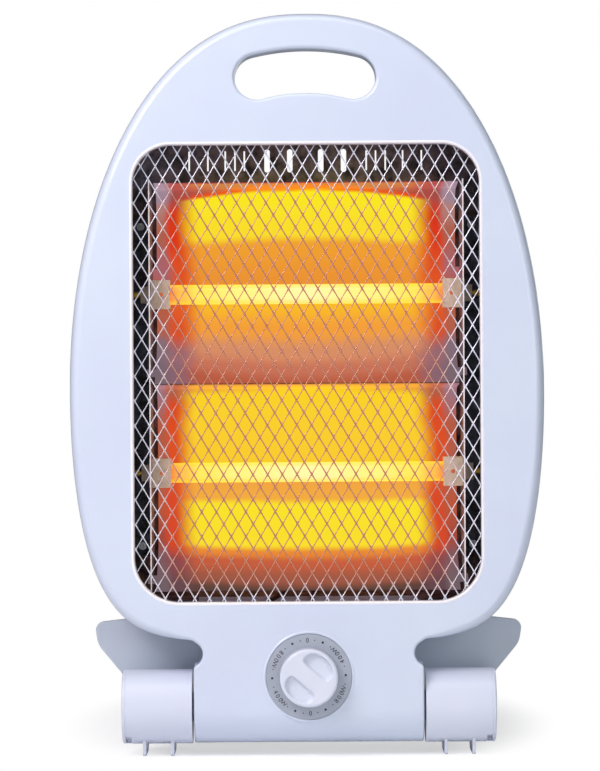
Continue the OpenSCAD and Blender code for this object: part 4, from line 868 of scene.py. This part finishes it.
# Grille mesh: two families of straight strands that cross at the lattice points; each is a ring carried along
# its line, thicker at the crossings and waving a little in depth
strands = {
    "pitchX": 8.87, "pitchZ": 14.9,  # width and height of a diamond
    "lattice": (-77.3, 363.6),  # one crossing, from the photograph
    "back": 0.28, "front": 0.36,  # radius of the rising and of the falling strands
    "node": 0.16,  # extra radius at a crossing
    "apart": 0.2, "wave": 0.12, "flat": 0.75,  # in depth: offset, waviness and share of the width
    "margin": 2.0,  # how far the strands run under the rim
}


def makeGrille():
    s = strands
    stepX, stepZ = s["pitchX"] / 2, s["pitchZ"] / 2
    cell = math.hypot(stepX, stepZ)
    midY = boxMm("grille_mesh")[2][1]
    sides, perCell = 6, 3
    ringAngle = onceRound(sides)
    points, faces, count = [], [], 0
    for way in (-1, 1):
        radius = s["front"] if way < 0 else s["back"]
        along = np.array([way * stepX, stepZ]) / cell
        across = np.array([along[1], -along[0]])
        # more strands and cells than the opening holds; openingDistance cuts them
        for index in range(-40, 41):
            origin = np.array(s["lattice"]) + [index * s["pitchX"], 0]
            t = np.arange(-45 * perCell, 8 * perCell + 1) / perCell * cell
            centre = origin + t[:, None] * along
            held = openingDistance(centre) < s["margin"]
            t, centre = t[held], centre[held]
            if len(t) < 4:
                continue
            phase = t / cell
            thick = radius * (1 + s["node"] / radius * np.clip(np.cos(2 * math.pi * phase), 0, 1) ** 3)
            lift = way * s["apart"] - s["wave"] * way * np.cos(2 * math.pi * phase)
            aside = thick[:, None] * np.cos(ringAngle)
            deep = midY + lift[:, None] + thick[:, None] * np.sin(ringAngle) * s["flat"]
            ring = np.stack([
                centre[:, :1] + aside * across[0], deep, centre[:, 1:] + aside * across[1]
            ], axis=-1).reshape(-1, 3)
            points.append(ring)
            faces.append(gridFaces(len(t), sides) + count)
            faces.append(hexagonEnds(count, count + len(ring) - sides))
            count += len(ring)
    newPiece("grilleMesh", np.concatenate(points), faces, chromedSteelWire, "heater",
             ["grille_mesh"], sharp=60)


makeGrille()
print("grille mesh done")


# Quartz tubes: a hollow tube turned about its axis, its ends rounded by the flame
def makeTube(which, box, material):
    low, high, (_, cy, cz) = box
    outer, end, sides = (high[2] - low[2]) / 2, high[0], 48
    inner = outer - 1.2  # thickness of the glass
    left = [(-end + 0.5, inner), (-end + 0.1, inner + 0.3), (-end + 0.1, outer - 0.3), (-end + 0.5, outer)]
    middle = [(x, outer) for x in np.linspace(-end + 6, end - 6, 24)]
    profile = np.array(left + middle + [(-x, r) for x, r in reversed(left)])
    turn = onceRound(sides)
    ring = np.stack([
        np.repeat(profile[:, :1], sides, axis=1),
        cy + profile[:, 1:] * np.cos(turn), cz + profile[:, 1:] * np.sin(turn)
    ], axis=-1).reshape(-1, 3)
    faces = gridFaces(len(profile), sides, closeRows=True)
    newPiece(f"quartzTube{which.title()}", ring, [faces], material, "heater",
             [f"quartz_tube_{which}"], sharp=50)


# Heating coils: the wire's ring carried along a helix, with straight leads on the axis
coil = {"turns": 84, "radius": 3.2, "wire": 0.42, "perTurn": 14, "lead": 8, "sides": 6}


def makeCoil(which, box, material):
    _, (end, _, _), (_, cy, cz) = box
    span = end - coil["lead"]
    count = coil["turns"] * coil["perTurn"]
    t = np.linspace(-1, 1, count)
    near = np.clip((1 - np.abs(t)) * span / 4, 0, 1)
    radius = coil["radius"] * near ** 2 * (3 - 2 * near)
    turn = t * math.pi * coil["turns"]
    line = np.stack([t * span, cy + radius * np.cos(turn), cz + radius * np.sin(turn)], axis=1)
    line = np.concatenate([[[-end, cy, cz]], line, [[end, cy, cz]]])
    along = np.gradient(line, axis=0)
    along /= np.linalg.norm(along, axis=1)[:, None]
    outward = np.stack([np.zeros(len(line)), line[:, 1] - cy, line[:, 2] - cz], axis=1)
    outward[np.linalg.norm(outward, axis=1) < 1e-6] = (0, 1, 0)
    sideways = np.cross(along, outward)
    sideways /= np.linalg.norm(sideways, axis=1)[:, None]
    outward = np.cross(sideways, along)
    angle = onceRound(coil["sides"])
    ring = line[:, None] + coil["wire"] * (
        np.cos(angle)[None, :, None] * outward[:, None] + np.sin(angle)[None, :, None] * sideways[:, None]
    )
    points = ring.reshape(-1, 3)
    faces = [gridFaces(len(line), coil["sides"]), hexagonEnds(0, len(points) - coil["sides"])]
    newPiece(f"heatingCoil{which.title()}", points, faces, material, "heater",
             [f"heating_coil_{which}"], sharp=60)


coilMaterial = glowingNichrome()
for which in ("upper", "lower"):
    box = boxMm(f"quartz_tube_{which}")
    makeTube(which, box, litQuartz(f"litQuartz{which.title()}", box[2][2]))
    makeCoil(which, box, coilMaterial)
print("tubes and coils done")

# Materials of the CAD nodes that stay as they are
finishes = {
    zincPlatedSteel: [
        "case_screws", "grille_retainer", "retainer_screws", "end_plate_screws", "cap_clips", "switch_shaft",
        "switch_screws", "tip_switch_pin", "tip_switch_screws", "terminal_block_screws",
        "foot_retainer_left", "foot_retainer_right", "foot_screw_left", "foot_screw_right",
    ],
    firedSteatite: [
        "tube_cap_upper_left", "tube_cap_upper_right", "tube_cap_lower_left", "tube_cap_lower_right",
        "terminal_block",
    ],
    stampedBrass: ["tube_terminals", "switch_terminals", "tip_switch_pendulum"],
    blackPhenolic: [
        "thermal_cutout", "switch_body", "switch_cover", "tip_switch_case", "tip_switch_cover", "cord_gland",
    ],
    siliconeSleeve: [
        "wire_tube_link", "wire_neutral", "wire_upper_tube", "wire_lower_tube", "wire_live",
        "wire_cutout_feed", "wire_cutout_return", "wire_earth",
    ],
    milkyAcetal: ["friction_ring_left", "friction_ring_right"],
    upperPaintedReflection: ["reflector_upper"],
    lowerPaintedReflection: ["reflector_lower", "cutout_rivets"],
    shadeBlackSheet: ["end_plate_left", "end_plate_right"],
    silverPrintPlate: ["dial_plate"],
}
for material, names in finishes.items():
    for name in names:
        mesh = nodes[name].data
        mesh.materials.clear()
        mesh.materials.append(material)
print("finishes of the kept nodes done")

# Dial print: generic numbers and dots round the plate
dial = {
    "radius": 22.1, "turn": 2.1, "letterHeight": 2.9, "letterStep": 7.2,
    "labels": [(90, "0"), (33, "400W"), (-33, "800W"), (-90, "0"), (-147, "400W"), (147, "800W")],
    "bigDots": [0, 65.6, 114.4, 180, 245.6, 294.4],
    "smallDots": [78.7, 101.3, 258.7, 281.3, 14, 52, -14, -52, 166, 128, 194, 232],
}


def makeDialPrint():
    low, _, (_, _, centreZ) = boxMm("dial_plate")
    front = low[1] - 0.06
    work = bmesh.new()

    # stands flat print up on the plate at an angle of the dial, turned about Y
    def placeAt(angle, turn):
        middle = (dial["radius"] * math.cos(angle), front, centreZ + dial["radius"] * math.sin(angle))
        upright = Matrix.Rotation(turn, 4, "Y") @ Matrix.Rotation(math.pi / 2, 4, "X")
        return Matrix.Translation(Vector(middle) * mm) @ upright

    for middle, label in dial["labels"]:
        for k, letter in enumerate(label):
            offset = (k - (len(label) - 1) / 2) * dial["letterStep"]
            angle = math.radians(middle + dial["turn"] + offset)
            font = bpy.data.curves.new("letter", "FONT")
            font.body = letter
            font.align_x = "CENTER"
            font.align_y = "CENTER"
            font.size = dial["letterHeight"] * 1.35 * mm  # a capital is lower than the font's size
            font.extrude = 0.03 * mm
            holder = newObject("letter", font)
            bpy.context.view_layer.update()
            mesh = bpy.data.meshes.new_from_object(holder)
            mesh.transform(placeAt(angle, -(angle + math.pi / 2)))
            work.from_mesh(mesh)
            bpy.data.objects.remove(holder)
            bpy.data.curves.remove(font)
            bpy.data.meshes.remove(mesh)
    for dots, radius in ((dial["bigDots"], 0.72), (dial["smallDots"], 0.36)):
        for degrees in dots:
            bmesh.ops.create_cone(
                work, cap_ends=True, segments=20, radius1=radius * mm, radius2=radius * mm * 0.92,
                depth=0.06 * mm, matrix=placeAt(math.radians(degrees + dial["turn"]), 0.0)
            )
    mesh = bpy.data.meshes.new("dialPrint")
    work.to_mesh(mesh)
    work.free()
    mesh.materials.append(padPrintInk)
    dress(newObject("dialPrint", mesh), "heater")


makeDialPrint()
print("dial print done")


# Floor: white, keeps the soft shadow, and runs out into the white background
def makeFloor():
    mesh = bpy.data.meshes.new("floor")
    mesh.from_pydata([(-6, -6, 0), (6, -6, 0), (6, 6, 0), (-6, 6, 0)], [], [(0, 1, 2, 3)])
    floor = newObject("floor", mesh)
    material, addNode, coords = newMaterial("whiteStudioFloor")
    matt = addNode("BsdfDiffuse", Color=linear("#CBCBCC"))
    lift = addNode("Emission", Color=(1, 1, 1, 1), Strength=0.5)
    shaded = addNode("AddShader", in0=matt, in1=lift)
    # round the feet the floor shows its shadow, and further out it is as white as the background
    flat = addNode("Mapping", Vector=coords, Location=(0.0, -0.6, 0.0), Scale=(6.0, 3.0, 0.0))
    reach = addNode("VectorMath", "LENGTH", in0=flat)
    away = addNode("MapRange", smooth, Value=reach.outputs["Value"], From_Min=0.7, From_Max=1.0)
    white = addNode("Emission", Color=(1, 1, 1, 1), Strength=1.0)
    seenFloor = addNode("MixShader", Fac=away, in1=shaded, in2=white)
    rays = addNode("LightPath")
    bounce = addNode("BsdfDiffuse", Color=linear("#F0F2F4"))
    pick = addNode("MixShader", Fac=rays.outputs["Is Camera Ray"], in1=bounce, in2=seenFloor)
    addNode("OutputMaterial", Surface=pick)
    mesh.materials.append(material)


makeFloor()

# Area lamps: place, point aimed at, width and height, all in metres, then power in watts and tint
lamps = {
    "key": ((-0.72, -0.8, 1.02), (0, 0, 0.34), (0.6, 0.6), 11.0, "#FFF7FF"),
    "fill": ((0.9, -1.6, 0.5), (0, 0, 0.26), (0.9, 0.9), 4.7, "#EDF5FF"),
    "edgeLeft": ((-1.15, -0.75, 0.3), (0, 0, 0.22), (0.16, 1.3), 0.4, "#FFFFFF"),
    "back": ((0.6, 1.9, 0.75), (0, 0, 0.22), (1.0, 1.0), 5.0, "#FFFFFF"),
    "top": ((0, -0.45, 1.5), (0, 0.1, 0), (1.2, 0.8), 3.5, "#FFFFFF"),
    "low": ((0, -1.2, 0.09), (0, 0, 0.03), (1.1, 0.14), 0.45, "#F4FAFF"),
}
for name, (place, aim, size, power, tint) in lamps.items():
    data = bpy.data.lights.new(name, "AREA")
    data.shape = "RECTANGLE"
    data.size, data.size_y = size
    data.energy = power
    data.color = linear(tint)[:3]
    turned = (Vector(aim) - Vector(place)).to_track_quat("-Z", "Y").to_matrix().to_4x4()
    newObject(name, data).matrix_world = Matrix.Translation(place) @ turned


def makeWorld():
    world = bpy.data.worlds.new("studio")
    scene.world = world
    world.use_nodes = True
    world.node_tree.nodes.clear()
    addNode = nodeAdder(world.node_tree)
    rays = addNode("LightPath")
    seen = addNode("Math", "MAXIMUM", in0=rays.outputs["Is Camera Ray"],
                   in1=rays.outputs["Is Transmission Ray"])
    # the room is lit from the front and above, less from the sides, and least from behind
    way = addNode("SeparateXYZ", Vector=addNode("TexCoord").outputs["Generated"])
    sideways = addNode("Math", "ABSOLUTE", in0=way.outputs["X"])
    aside = addNode("Math", "MULTIPLY_ADD", in0=sideways, in1=0.6, in2=way.outputs["Y"])
    room = addNode("MapRange", Value=aside, From_Min=-0.2, From_Max=0.7, To_Min=0.42, To_Max=0.1)
    strength = addNode("Mix", {"data_type": "FLOAT"}, in0=seen, in2=room, in3=1.0)
    white = addNode("Background", Color=(1, 1, 1, 1), Strength=strength)
    addNode("OutputWorld", Surface=white)


makeWorld()
print("stage and light done")
